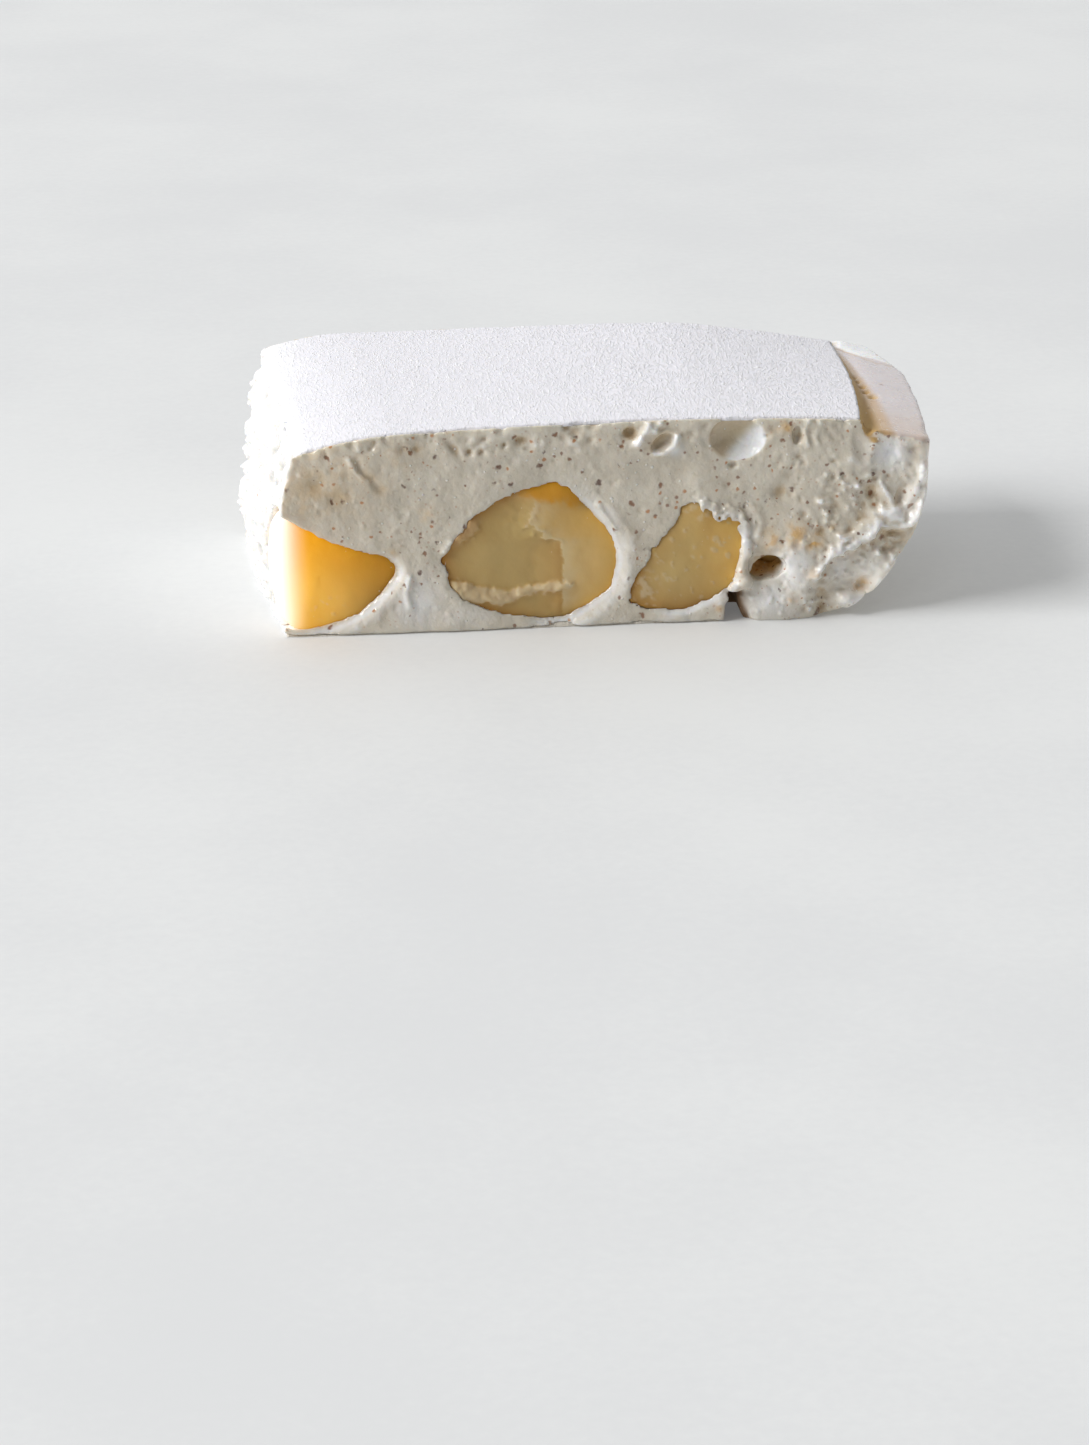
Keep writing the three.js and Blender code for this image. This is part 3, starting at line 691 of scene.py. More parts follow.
# How far the nougat stands out of the plane of the front cut, at each x and z.
def front_relief(x, z):
    spongy = ease(x + 0.5 * (14.0 - z), 19.0, 27.0)
    relief = front_waves(x, z) + 0.11 * rough(x, 5.0, z, 3.2, 2, 12)
    relief += spongy * 0.2 * rough(x, 9.0, z, 2.6, 2, 31)
    relief += bell(z - 19.8, 1.4) * 0.12 * rough(x, 9.0, z, 1.2, 2, 33)
    wobble = 0.25 * rough(x, 14.0, 0.0 * z, 1.8, 3, 34)
    fold_x, fold_z = np.array(FOLD[::-1]).T
    fold_height = wobble + np.interp(x, fold_x, fold_z)
    below_fold = 1.0 - ease(z, fold_height - 1.1, fold_height + 0.1)
    relief -= ease(x, 21.3, 23.0) * 0.5 * below_fold
    relief -= 0.45 * ease(x, 31.9, 33.5) ** 2
    lumpy = 1.0 + 0.45 * rough(x, 15.0, z, 1.1, 2, 35)
    relief += 0.65 * lumpy * bell(from_line(x, z - wobble, FOLD), 0.65) * (1.0 - 0.6 * below_fold)
    for points, width, height in RIDGES:
        relief += height * bell(from_line(x, z, points), width)
    for at, size, turn, depth in HOLLOWS:
        relief -= depth * dab(x, z, at, size, turn)
    # The lobe right of the crack bulges and rounds off towards it, and the hole above lies in a dip.
    relief += 0.4 * dab(x, z, (17.3, 2.0), (2.2, 1.6)) + 0.4 * dab(x, z, (19.9, 5.2), (1.2, 2.6), 20.0)
    relief += 0.35 * dab(x, z, (18.4, 8.3), (2.4, 0.9), -20.0)
    relief -= 0.55 * dab(x, z, (16.4, 6.3), (2.0, 1.1))
    crack_side = np.interp(z, [-1.0, 0.0, 0.8, 2.0, 3.1, 3.9], [16.2, 15.3, 14.7, 14.2, 14.1, 14.4])
    rounding = np.clip(1.0 - (x - crack_side) / 1.3, 0.0, 1.0) ** 2
    relief -= 0.9 * rounding * (1.0 - ease(z, 3.2, 4.4)) * (x > 13.4)
    for row in FRONT_STREWN:
        relief += strewn(x, z, *row)
    relief += 0.02 * rough(x, 3.0, z, 0.8, 2, 13)
    for name in FRONT_KERNELS:
        away = -inside_outline(x, z, name)
        width = SLOPES[name][SLOPE_WIDTH] * (1.0 + 0.25 * rough(x, 11.0, z, 2.0, 2, 48))
        lip = bell(away - width - 0.2, 0.5)
        relief -= slope_depth(x, z, name) * (1.0 - ease(away, -0.3 * width, 1.15 * width) - 0.15 * lip)
        relief -= 0.1 * np.exp(-np.maximum(away, 0.0) / 0.4)
    return smooth_min(relief, 0.7, 0.3)


# Torn bits of nougat lie over the right kernel's upper edge.
def over_right_kernel(x, z):
    middle = KERNELS["nut_right"][0]
    angle = np.arctan2(z - middle[2], x - middle[0])
    return ease(angle, 0.35, 0.6) * (1.0 - ease(angle, 1.25, 1.5))


# How deep the nougat is open over a kernel, inwards from an edge at some distance from the outline.
def opening(x, z, name, edge):
    return np.clip(1.4 * (inside_outline(x, z, name) - edge), 0.0, 3.0)


def front_openings(x, z):
    depth = 0.0
    for name in FRONT_KERNELS:
        ragged = 0.08 + 0.16 * rough(x, 8.0, z, 0.9, 3, 45)
        if name == "nut_right":
            ragged = ragged + over_right_kernel(x, z) * (0.3 + 0.5 * rough(x, 12.0, z, 0.6, 3, 49))
        depth = depth + opening(x, z, name, ragged)
    return depth * ease(z, 0.5, 0.8)


def back_relief(x, z):
    fold_height = 5.4 + 0.7 * (x - 22.0)
    below_fold = 1.0 - ease(z, fold_height - 1.0, fold_height)
    relief = back_waves(x, z) + 0.14 * rough(x, 25.0, z, 2.4, 3, 52)
    relief -= ease(x, 20.5, 23.5) * 0.6 * below_fold
    whole_cut = ((-33.0, 1.0), (33.0, 21.0))
    relief += strewn(x, z, 300, whole_cut, (0.22, 0.6), 0.8, 53)
    relief += strewn(x, z, 160, whole_cut, (0.2, 0.38), -0.5, 55)
    relief += 0.04 * rough(x, 23.0, z, 0.8, 2, 54)
    for name in BACK_KERNELS:
        away = -inside_outline(x, z, name)
        relief -= 0.3 * np.clip(1.0 - away / 0.9, 0.0, 1.0)
    return relief


def back_openings(x, z):
    depth = 0.0
    for name in BACK_KERNELS:
        ragged = 0.08 + 0.16 * rough(x, 28.0, z, 0.9, 3, 56)
        depth = depth + opening(x, z, name, ragged)
    return depth


def torn_relief(y, z):
    crags = 0.45 * rough(y, 40.0, z, 3.4, 2, 61) + 0.4 * rough(y, 43.0, z, 1.2, 3, 62)
    teeth = ease(y, 12.5, 15.0) * np.maximum(rough(0.2 * y, 46.0, z, 0.6, 2, 63), 0.0)
    by_the_cut = ease(-y, 12.5, 15.5)
    return (crags - 0.35) * (1.0 - 0.8 * by_the_cut) + 0.5 * teeth


# A bubble, bead or drop: an ellipsoid turned about Y.
def ball_field(x, y, z, at, radii, turn=0.0):
    c, s = math.cos(math.radians(turn)), math.sin(math.radians(turn))
    u = ((x - at[0]) * c - (z - at[2]) * s) / radii[0]
    w = ((x - at[0]) * s + (z - at[2]) * c) / radii[2]
    return (np.sqrt(u**2 + ((y - at[1]) / radii[1]) ** 2 + w**2) - 1.0) * min(radii)


# A lumpy strand between two points, thicker at one of them.
def strand_field(x, y, z, start, stop, start_radius, stop_radius):
    along = np.array(stop) - np.array(start)
    offset = (x - start[0]) * along[0] + (y - start[1]) * along[1] + (z - start[2]) * along[2]
    t = np.clip(offset / along.dot(along), 0.0, 1.0)
    dx, dy, dz = x - start[0] - t * along[0], y - start[1] - t * along[1], z - start[2] - t * along[2]
    radius = mix(start_radius, stop_radius, t)
    return np.sqrt(dx**2 + dy**2 + dz**2) - radius + 0.12 * lumps(x, y, z, 0.6, 15)


# The crack between the right kernel and the lobe beside it, open at the bottom.
def crack_field(x, y, z):
    ragged = 0.3 * lumps(x, y, z, 0.6, 9)
    left = np.interp(z, [-1.0, 0.4, 1.5, 2.3, 3.3], [12.7, 12.9, 13.0, 13.2, 13.4]) + ragged
    right = np.interp(z, [-1.0, -0.1, 0.8, 2.0, 3.1, 3.8], [15.4, 14.9, 14.5, 14.2, 14.1, 14.1])
    sides = np.maximum(left - x, x - right)
    return np.maximum(np.maximum(sides, z - 3.5), y + 10.5)


# The room that a kernel fills, with a hair's gap round it.
def socket_field(x, y, z, name, level):
    side = 1.0 if KERNELS[name][0][1] > 0.0 else -1.0
    return np.maximum(kernel_field(x, y, z, name), side * y - HALF + level) - 0.04


# The mass is worked out on a grid that is finest beside both cuts: the height of the top and of the
# foot at each x and y, the relief of both cuts at each x and z, and the torn end and the tray's skin.
cell = 0.21
xs = np.arange(-36.6, 36.8, cell)
ys = spaced([-17.3, -14.9, -10.0, 12.0, 14.6, 17.3], [0.55 * cell, 1.2 * cell, 1.8 * cell, 1.5 * cell, cell])
zs = np.arange(-0.31, 23.0, cell)
gx, gy, gz = xs[:, None, None], ys[None, :, None], zs[None, None, :]

flat_x, flat_z = np.meshgrid(xs, zs, indexing="ij")
front = front_relief(flat_x, flat_z)
back = back_relief(flat_x, flat_z)
top_x, top_y = np.meshgrid(xs, ys, indexing="ij")
paper_edge = upper_paper_end(top_y)
under_paper = crown(np.minimum(top_x, paper_edge), top_y) - PAPER
step_down = mix(0.6, 1.2, np.clip(share_back(top_y), 0.0, 1.0))
past_paper = ease(top_x, paper_edge + 0.05, paper_edge + step_down)
# Past the sheet a row of tiny bubbles broke open, a crease crosses the skin and its far edge is raised.
PITS = [
    ((28.9, 3.2), 0.3), ((29.0, 1.9), 0.35), ((29.2, 0.2), 0.4), ((29.3, -1.5), 0.4), ((29.7, -3.2), 0.5),
]
CREASE = [(28.7, 13.9), (29.8, 12.9), (31.1, 11.2), (32.4, 9.8), (34.2, 9.4)]
skin_lumps = 0.06 * rough(top_x, top_y, 0.0, 3.5, 2, 71)
skin_lumps += 0.35 * dab(top_x, top_y, (29.6, 15.3), (1.9, 1.3))
skin_lumps -= 0.16 * bell(from_line(top_x, top_y, CREASE), 0.35)
for at, size in PITS:
    skin_lumps -= 0.6 * dab(top_x, top_y, at, (size, 1.3 * size))
    skin_lumps += 0.2 * dab(top_x, top_y, at, (1.6 * size, 2.0 * size))
top = mix(under_paper, bare_top(top_x, top_y) + skin_lumps, past_paper)
# Beside the sheet's front and back edges the nougat swelled up a little under the knife.
beside_paper = ease(np.abs(top_y), HALF - 0.55, HALF - 0.25) * (1.0 - past_paper)
top = (top + 0.3 * beside_paper)[:, :, None]
lower_edge = 12.7 + 0.5 * lumps(0.0, gy, 0.0, 1.5, 5)
over_sheet = (PAPER + 0.01) * (1.0 - 0.7 * ease(np.abs(gy), HALF - 0.55, HALF - 0.3))
foot = np.where(gx < lower_edge, over_sheet, 0.0)
crumbly = 0.12 * ease(gx, 16.0, 20.0) * np.abs(rough(gx, gy, 0.0, 1.0, 2, 72))
foot = np.maximum(foot, underside(gx) + crumbly)

field = -HALF - (front - front_openings(flat_x, flat_z))[:, None, :] - gy
field = np.maximum(field, gy - HALF - (back - back_openings(flat_x, flat_z))[:, None, :])
field = smooth_max(field, cut_end(gy, gz) - torn_relief(gy, gz) - gx, 0.25)
tray_skin = tray_end(gy, gz) + 0.3 * (1.0 - ease(gz, 9.0, 13.0)) + 0.1 * rough(gx, gy, gz, 2.5, 2, 7)
low_at_front = (1.0 - ease(gz, 9.0, 12.0)) * ease(-gy, 12.0, 15.0)
tray_skin += 0.2 * rough(gx, gy, gz, 0.9, 2, 73) * low_at_front
field = smooth_max(field, gx - tray_skin, mix(0.4, 0.9, ease(gy, -14.0, -8.0)))
field = smooth_max(field, gz - top, mix(0.12, 0.7, ease(gx, 27.6, 29.4) * ease(-gy, 8.0, 13.0)))
field = smooth_max(field, foot - gz, 0.1)


# The part of the grid within reach of a place.
def window(at, reach):
    return tuple(
        slice(*np.searchsorted(axis, [at[a] - reach[a], at[a] + reach[a]]))
        for a, axis in enumerate((xs, ys, zs))
    )


def shape_in(part, shape_field, args):
    return shape_field(gx[part[0]], gy[:, part[1]], gz[:, :, part[2]], *args)


# Takes a shape out of the nougat, or adds one to it, with a soft edge of some width.
def carve(shape_field, at, reach, width, *args):
    part = window(at, reach)
    field[part] = smooth_max(field[part], -shape_in(part, shape_field, args), width)


def heap(shape_field, at, reach, width, *args):
    part = window(at, reach)
    field[part] = smooth_min(field[part], shape_in(part, shape_field, args), width)


carve(crack_field, (14.5, -14.0, 1.5), (3.5, 5.0, 3.0), 0.25)


# The small hole that shows the deep kernel, and a narrower tail to its lower left.
def hole_field(x, y, z):
    return ball_field(x, y, z, (17.1, -15.9, 5.7), (1.7, 4.6, 1.15), -14.0) + 0.22 * lumps(x, y, z, 0.9, 8)


carve(hole_field, (17.2, -16.0, 5.7), (3.5, 5.5, 3.0), 0.2)
carve(ball_field, (16.1, -16.3, 4.9), (3.0, 3.0, 3.0), 0.2, (16.1, -16.3, 4.9), (0.95, 2.6, 0.42), 12.0)
# Bubbles that a cut opened: place, radii and turn. The first is the big one under the upper sheet.
BIG_BUBBLE = ((13.8, -16.5, 19.4), (3.0, 1.9, 2.35), 14.0)
BUBBLES = [
    BIG_BUBBLE,
    ((6.2, -16.3, 19.2), (1.4, 1.3, 0.8), -40.0),
    ((19.8, -16.2, 19.5), (0.55, 1.2, 1.1), 0.0),
    ((13.4, -16.1, 16.6), (0.55, 0.8, 0.45), 0.0),
    ((26.2, -16.7, 18.4), (1.1, 1.0, 1.5), -20.0),
    ((-19.0, 16.2, 18.4), (1.7, 1.8, 1.2), 20.0),
    ((24.0, 16.2, 12.6), (1.4, 1.6, 1.8), 0.0),
    ((-2.0, 16.3, 5.0), (0.9, 1.1, 0.8), 0.0),
    ((1.6, 16.3, 17.6), (1.1, 1.2, 0.9), 30.0),
]
for at, radii, turn in BUBBLES:
    carve(ball_field, at, (4.0, 4.0, 4.0), 0.15, at, radii, turn)
# A flap of nougat hangs over the right kernel's edge and ends in a curl above the crack.
FLAP = [
    ((14.5, -15.8, 9.9), 0.3), ((14.95, -15.95, 8.5), 0.5), ((14.95, -15.95, 7.4), 0.6),
    ((14.65, -15.95, 6.3), 0.5), ((14.45, -16.0, 5.3), 0.65), ((14.75, -16.1, 4.4), 0.8),
]
for (start, start_radius), (stop, stop_radius) in zip(FLAP, FLAP[1:]):
    middle = [(a + b) / 2.0 for a, b in zip(start, stop)]
    heap(strand_field, middle, (2.5, 2.0, 3.0), 0.25, start, stop, start_radius, stop_radius)
heap(ball_field, (14.0, -16.2, 3.8), (2.4, 2.0, 2.4), 0.2, (13.9, -16.15, 3.85), (0.95, 0.6, 0.5), -12.0)
heap(ball_field, (15.1, -16.2, 4.2), (2.4, 2.0, 2.4), 0.2, (15.1, -16.2, 4.1), (0.5, 0.55, 0.7), 20.0)
# Crumbs of nougat that the knife pushed over the kernel's upper edge.
BITS = [
    (10.4, 13.0), (10.9, 12.3), (11.3, 11.8), (11.8, 11.4), (12.4, 11.1), (13.0, 11.3), (13.6, 11.5),
    (14.1, 11.0), (14.6, 10.2), (14.7, 9.3),
]


def crumb_field(x, y, z, at, radii, turn):
    return ball_field(x, y, z, at, radii, turn) + 0.25 * lumps(x, y, z, 0.45, 16)


rng = np.random.default_rng(17)
for x, z in BITS:
    at = (x + rng.uniform(-0.1, 0.3), -15.85, z + rng.uniform(-0.1, 0.3))
    radii = rng.uniform((0.4, 0.2, 0.3), (0.8, 0.35, 0.5))
    heap(crumb_field, at, (1.8, 1.2, 1.8), 0.35, at, radii, rng.uniform(-60.0, 60.0))
# A knob stands out low on the face, and the kernels' sockets are hollowed last.
heap(ball_field, (25.3, -15.2, 2.0), (2.5, 2.5, 2.5), 0.9, (25.3, -15.3, 1.9), (1.0, 0.9, 0.7))
for name, (middle, reach, half_depth) in KERNELS.items():
    around = (reach.max() + 1.0, half_depth + 1.5, reach.max() + 1.0)
    part = window(middle, around)
    level = cut_level(flat_x[part[0], part[2]], flat_z[part[0], part[2]], name)[0][:, None, :]
    carve(socket_field, middle, around, 0.06, name, level)

points, faces = skin_of(field, xs, ys, zs)


# The direction in which the skin faces at each point.
def normals_of(points, faces):
    cross = np.cross(points[faces[:, 2]] - points[faces[:, 0]], points[faces[:, 3]] - points[faces[:, 1]])
    total = np.zeros_like(points)
    for corner in range(4):
        for axis in range(3):
            total[:, axis] += np.bincount(faces[:, corner], cross[:, axis], len(points))
    return total / np.maximum(np.linalg.norm(total, axis=1, keepdims=True), 1e-12)


# Moves chosen points towards the middle of the points around them.
def relaxed(points, faces, share):
    total = np.zeros_like(points)
    for one, other in ((0, 1), (1, 2), (2, 3), (3, 0)):
        for axis in range(3):
            total[:, axis] += np.bincount(faces[:, one], points[faces[:, other], axis], len(points))
            total[:, axis] += np.bincount(faces[:, other], points[faces[:, one], axis], len(points))
    around = 2.0 * np.bincount(faces.ravel(), minlength=len(points))[:, None]
    return mix(points, total / around, share[:, None])


outward = normals_of(points, faces)
on_skin = (points[:, 0] > upper_paper_end(points[:, 1]) + 0.3) * ease(outward[:, 2], 0.5, 0.8)
for at, size in PITS:
    on_skin = on_skin * (1.0 - dab(points[:, 0], points[:, 1], at, (2.0 * size, 2.4 * size)))
for _ in range(4):
    points = relaxed(points, faces, 0.6 * on_skin)
px, py, pz = points.T
behind = HALF - np.abs(py)  # how far inside the nearer cut
front_cut = py < 0.0
papered = (px < upper_paper_end(py)) & (pz > crown(px, py) - PAPER - 0.12) & (np.abs(py) < HALF - 0.6)
papered = papered | (outward[:, 2] < -0.6)
# Fine relief, where no sheet covers it: shallow pores, and crisp crags on the torn end.
fine = 0.022 * rough(px, py, pz, 0.7, 2, 81) - 0.03 * np.abs(rough(px, py, pz, 1.3, 2, 82))
off_cuts = np.maximum(ease(-outward[:, 0], 0.1, 0.5), 1.0 - ease(np.abs(py), HALF - 0.9, HALF - 0.4))
torn_end = (1.0 - ease(px - cut_end(py, pz), 0.9, 1.7)) * off_cuts
# Painted shade in the hollows of the torn end.
painted_torn_shade = torn_end * ease(-torn_relief(py, pz), 0.4, 1.1) * ease(behind, 1.0, 3.0)
fine = fine + torn_end * 0.1 * rough(px, py, pz, 0.6, 2, 83)
fine = fine * (1.0 - 0.85 * ease(outward[:, 2], 0.4, 0.8))
points = points + outward * (np.where(papered, 0.0, fine))[:, None]


# Soft spots laid side by side: place, half sizes and strength of each.
def spots(rows):
    strongest = np.zeros(len(points))
    for at, size, strength in rows:
        wide, tall = size if isinstance(size, tuple) else (size, size)
        strongest = np.maximum(strongest, strength * dab(px, pz, at, (wide, tall)))
    return strongest


# Where nut oil and burnt sugar stained the front cut; the wide spot on its left is painted shade.
STAINS_AND_SHADE = [
    ((17.4, 8.6), 1.1, 0.7), ((19.9, 9.2), 1.2, 0.8), ((21.6, 8.4), 1.0, 1.0), ((21.6, 5.0), 0.6, 1.0),
    ((19.6, 2.3), 0.7, 0.6), ((18.6, 20.3), 0.7, 0.8), ((12.2, 1.4), 0.5, 0.5), ((26.9, 3.2), 0.7, 1.0),
    ((23.7, 9.8), 0.5, 0.4), ((-20.8, 8.6), 0.5, 0.4), ((-17.3, 12.6), 0.9, 0.3), ((-29.4, 13.6), 1.6, 0.3),
    ((-20.0, 18.6), 1.8, 0.2), ((-27.5, 16.5), 5.0, 0.25), ((32.9, 17.6), 1.2, 0.3),
    ((17.2, 20.2), 0.6, 0.4),
]
stain_and_shade = spots(STAINS_AND_SHADE) * (py < -14.5)
# Beside the sheet the sugar ran out: painted shade, olive brown, in the angle under the sheet's end, orange
# beige further on, and nothing at the back.
rearward = share_back(py)
past = (px - upper_paper_end(py) + 0.1) / (4.2 - 3.8 * rearward)
wall = (px < upper_paper_end(py) + 0.5) * (outward[:, 0] > 0.3) * (py > -HALF + 0.2)
beside_sheet = (past > 0.0) * (pz > 17.5) * np.maximum(ease(outward[:, 2], 0.15, 0.5), wall)
beside_sheet = beside_sheet * (1.0 - ease(rearward, 0.75, 1.0))
furrow_stain = beside_sheet * (1.0 - ease(past, 0.7, 1.1)) * mix(1.0, 0.75, rearward)
tinged = (past > 0.0) * (pz > 16.9) * ease(outward[:, 2], 0.4, 0.7) * (1.0 - ease(py, -13.0, -4.0))
furrow_stain = np.maximum(furrow_stain, 0.3 * tinged)
painted_olive_shade = beside_sheet * (1.0 - ease(past, 0.3, 0.75)) * mix(1.0, 0.5, rearward)
# Painted shade in the open bubbles past the sheet.
for at, size in PITS:
    painted_olive_shade = np.maximum(painted_olive_shade, dab(px, py, at, (1.1 * size, 1.5 * size)) * (pz > 17.5))
furrow_stain = np.maximum(furrow_stain, 0.5 * bell(from_line(px, py, CREASE), 0.25) * (pz > 17.5))
skin = ease(px, 27.0, 29.5) * ease(outward[:, 2] + 0.8 * outward[:, 0], 0.5, 0.8) * ease(pz, 13.0, 17.5)
# Painted shade on the walls of bubbles and sockets behind the cuts, a golden tint in the small hole, and
# the crack beside the kernel painted dark.
painted_deep_shade = ease(behind, 0.6, 2.2) * (pz < 21.2) * (outward[:, 2] < 0.95) * (np.abs(px) < 29.0)
painted_deep_shade = painted_deep_shade * (px < upper_paper_end(py) - 1.0)
near_front = py < -9.0
in_hole = dab(px, pz, (16.9, 5.5), (2.4, 1.6)) * ease(py, -15.4, -14.2) * near_front
painted_crack_shade = ease(1.7 - np.abs(px - 13.9), 0.0, 0.5) * ease(3.9 - pz, 0.0, 0.5)
painted_crack_shade = painted_crack_shade * ease(py, -16.2, -15.2) * near_front


# How far the relief of a cut stands above its own soft average, at each point.
def above_average(relief, width):
    along = np.fft.fftfreq(relief.shape[0], cell)[:, None]
    up = np.fft.fftfreq(relief.shape[1], cell)[None, :]
    keep = np.exp(-2.0 * (np.pi * width) ** 2 * (along**2 + up**2))
    relief = np.maximum(relief, -1.3)
    local = relief - np.fft.ifft2(np.fft.fft2(relief) * keep).real
    i = np.clip(np.round((px - xs[0]) / cell).astype(int), 0, len(xs) - 1)
    k = np.clip(np.round((pz - zs[0]) / cell).astype(int), 0, len(zs) - 1)
    return local[i, k]


# Where a cut lies low it is painted browner as shade, and its crests are painted whiter as highlights.
on_cut = ease(np.abs(py), HALF - 1.6, HALF - 1.2)
local = np.where(py < 0.0, above_average(front, 1.2), above_average(back, 1.2))
painted_recess_shade = ease(-local, 0.05, 0.4) * on_cut
# Painted shade in soft hollows under the left of the upper sheet.
PAINTED_SHADE_PLACES = [
    ((-28.6, 15.8), (1.5, 1.2), 0.8), ((-26.0, 14.5), (1.2, 0.96), 0.8), ((-21.7, 15.3), (0.7, 0.56), 0.8),
    ((-22.9, 16.6), (0.7, 0.56), 0.8),
]
painted_recess_shade = np.maximum(painted_recess_shade, spots(PAINTED_SHADE_PLACES) * front_cut)
# Painted shade inside the small bubble.
in_small_bubble = dab(px, pz, (6.0, 19.3), (1.3, 0.75), 40.0) * ease(py, -16.4, -16.1) * (py < -10.0)
painted_recess_shade = np.maximum(painted_recess_shade, in_small_bubble)
# Painted light and shade in the big bubble: its wall is browner on the upper left, away from the light, and
# whiter on the lower right, which faces it.
(bubble_x, _, bubble_z), (bubble_wide, _, bubble_tall), _ = BIG_BUBBLE
from_bubble = np.hypot((px - bubble_x) / bubble_wide, (pz - bubble_z) / bubble_tall)
in_bubble = ease(py, -16.1, -15.7) * (py < -10.0) * (1.0 - ease(from_bubble, 0.94, 1.0))
across_bubble = 0.75 * (px - bubble_x) - 0.66 * (pz - bubble_z)
painted_recess_shade = mix(painted_recess_shade, 0.75 * (1.0 - ease(across_bubble, -0.2, 0.6)), in_bubble)
# Painted highlights on the slopes beside the kernels, which face the light, and on the crests.
painted_highlight = np.zeros(len(points))
for name in FRONT_KERNELS:
    away = -inside_outline(px, pz, name)
    slope = slope_depth(px, pz, name) / SLOPES[name][SLOPE_DEPTH] * front_cut
    beside = slope * ease(away, -0.2, 0.2) * (1.0 - ease(away, 1.1, 2.0))
    painted_highlight = np.maximum(painted_highlight, 0.45 * beside * (0.7 + 0.6 * rough(px, 0.0, pz, 1.2, 2, 84)))
    painted_highlight = np.maximum(painted_highlight, 0.8 * slope * bell(away - 0.35, 0.35))
painted_highlight = np.maximum(painted_highlight, 0.85 * ease(local, 0.05, 0.4) * on_cut)
painted_highlight = mix(painted_highlight, ease(across_bubble, 0.2, 1.2), in_bubble)
# Painted light on places of the front cut that lie in shade: the lobe, the flap, the shelf, the far right
# edge and low on the left.
PAINTED_LIGHT_PLACES = [
    ((17.6, 2.2), (3.0, 2.2), 0.8), ((19.9, 5.6), (2.0, 3.0), 1.0), ((7.5, 18.5), (0.8, 0.7), 0.9),
    ((29.3, 17.4), (2.0, 1.8), 1.0), ((27.8, 4.4), (3.2, 2.4), 0.6), ((26.2, 1.8), (2.0, 1.0), 1.0),
    ((14.8, 8.8), (0.8, 1.6), 0.9), ((24.6, 5.2), (1.5, 2.4), 0.6), ((31.6, 12.0), (1.6, 2.4), 0.5),
    ((33.2, 15.8), (1.0, 3.0), 0.8), ((-18.3, 3.2), (2.2, 2.6), 0.8), ((-14.0, 1.8), (3.0, 1.2), 0.4),
]
painted_highlight = np.maximum(painted_highlight, spots(PAINTED_LIGHT_PLACES) * on_cut * front_cut)
# The bits over the right kernel are lighter too.
over_kernel = 0.4 * bell(from_line(px, pz, BITS), 0.6) * (py < -15.9)
beyond_crease = ease(py - np.interp(px, [28.7, 31.1, 34.0], [14.2, 11.5, 9.9]), 0.0, 0.4)
# The skin beyond the crease faces the light, and is painted lighter as a highlight.
far_facet = skin * beyond_crease * ease(outward[:, 2], 0.4, 0.8)
painted_highlight = np.maximum(painted_highlight, np.maximum(over_kernel, far_facet))
skin = skin * (1.0 - far_facet)
# Vanilla lies thicker towards the tray end and under the upper sheet, and little is left where the knife
# or the tray wiped it off.
thick = np.maximum(ease(px, 2.0, 22.0), ease(pz, 16.0, 19.5))
wiped = np.maximum(np.maximum(torn_end, skin), np.maximum(in_bubble, 0.75 * painted_highlight))
specked = mix(0.5, 1.0, thick) * (1.0 - 0.95 * wiped) * mix(1.0, 0.6, py > -14.0)
# Places that are given a faint painted glow.
GLOW_PAINTED_LOBES = [
    ((28.4, 3.4), (3.4, 2.4), 0.65), ((20.0, 5.0), (1.6, 2.8), 0.6), ((31.8, 11.0), (1.4, 2.6), 0.5),
    ((33.3, 15.8), (0.9, 3.0), 0.8),
]
thin = spots(GLOW_PAINTED_LOBES) * on_cut * front_cut * (1.0 - 0.7 * stain_and_shade)
nougat_masks = {
    "stain_and_shade": stain_and_shade, "furrow": furrow_stain, "painted_olive_shade": painted_olive_shade, "skin": skin, "torn": torn_end,
    "painted_torn_shade": painted_torn_shade, "deep": painted_deep_shade, "hole": in_hole, "painted_crack_dark": painted_crack_shade,
    "painted_recess_shade": painted_recess_shade * (1.0 - painted_highlight), "painted_white": painted_highlight, "specked": specked, "thin": thin,
}
nougat = made("nougat_mass", points, faces, nougat_masks)

nougat_finish, nodes = material_called("whipped_nougat")
mottle = nodes.noise(240.0, 3.0)
colour = nodes.blend(nodes.between(mottle, 0.3, 0.7), linear(214, 205, 188), linear(226, 218, 202))
# These tints paint shade in low places, on deep walls, in the torn end's hollows, in the angle beside the
# sheet and in the crack, and paint highlights in the white places.
NOUGAT_TINTS = [
    ("painted_recess_shade", 0.75, (200, 174, 134)), ("deep", 0.75, (206, 190, 150)), ("painted_white", 0.9, (246, 247, 248)),
    ("torn", 0.9, (240, 239, 237)), ("painted_torn_shade", 1.0, (186, 181, 172)), ("skin", 0.9, (213, 204, 205)),
    ("furrow", 0.9, (196, 160, 112)), ("painted_olive_shade", 0.9, (202, 166, 106)), ("hole", 0.85, (226, 178, 104)),
    ("painted_crack_dark", 0.9, (104, 72, 38)),
]
colour = nodes.tinted(colour, NOUGAT_TINTS)
# The stain tint, painted shade in the wide spot on the left, broken into patches.
patchy = nodes.between(nodes.noise(900.0, 2.0), 0.42, 0.6, 0.35, 1.0)
patchy_stain_and_shade = nodes.times(nodes.mask("stain_and_shade"), patchy)
colour = nodes.blend(patchy_stain_and_shade, colour, linear(224, 178, 100))
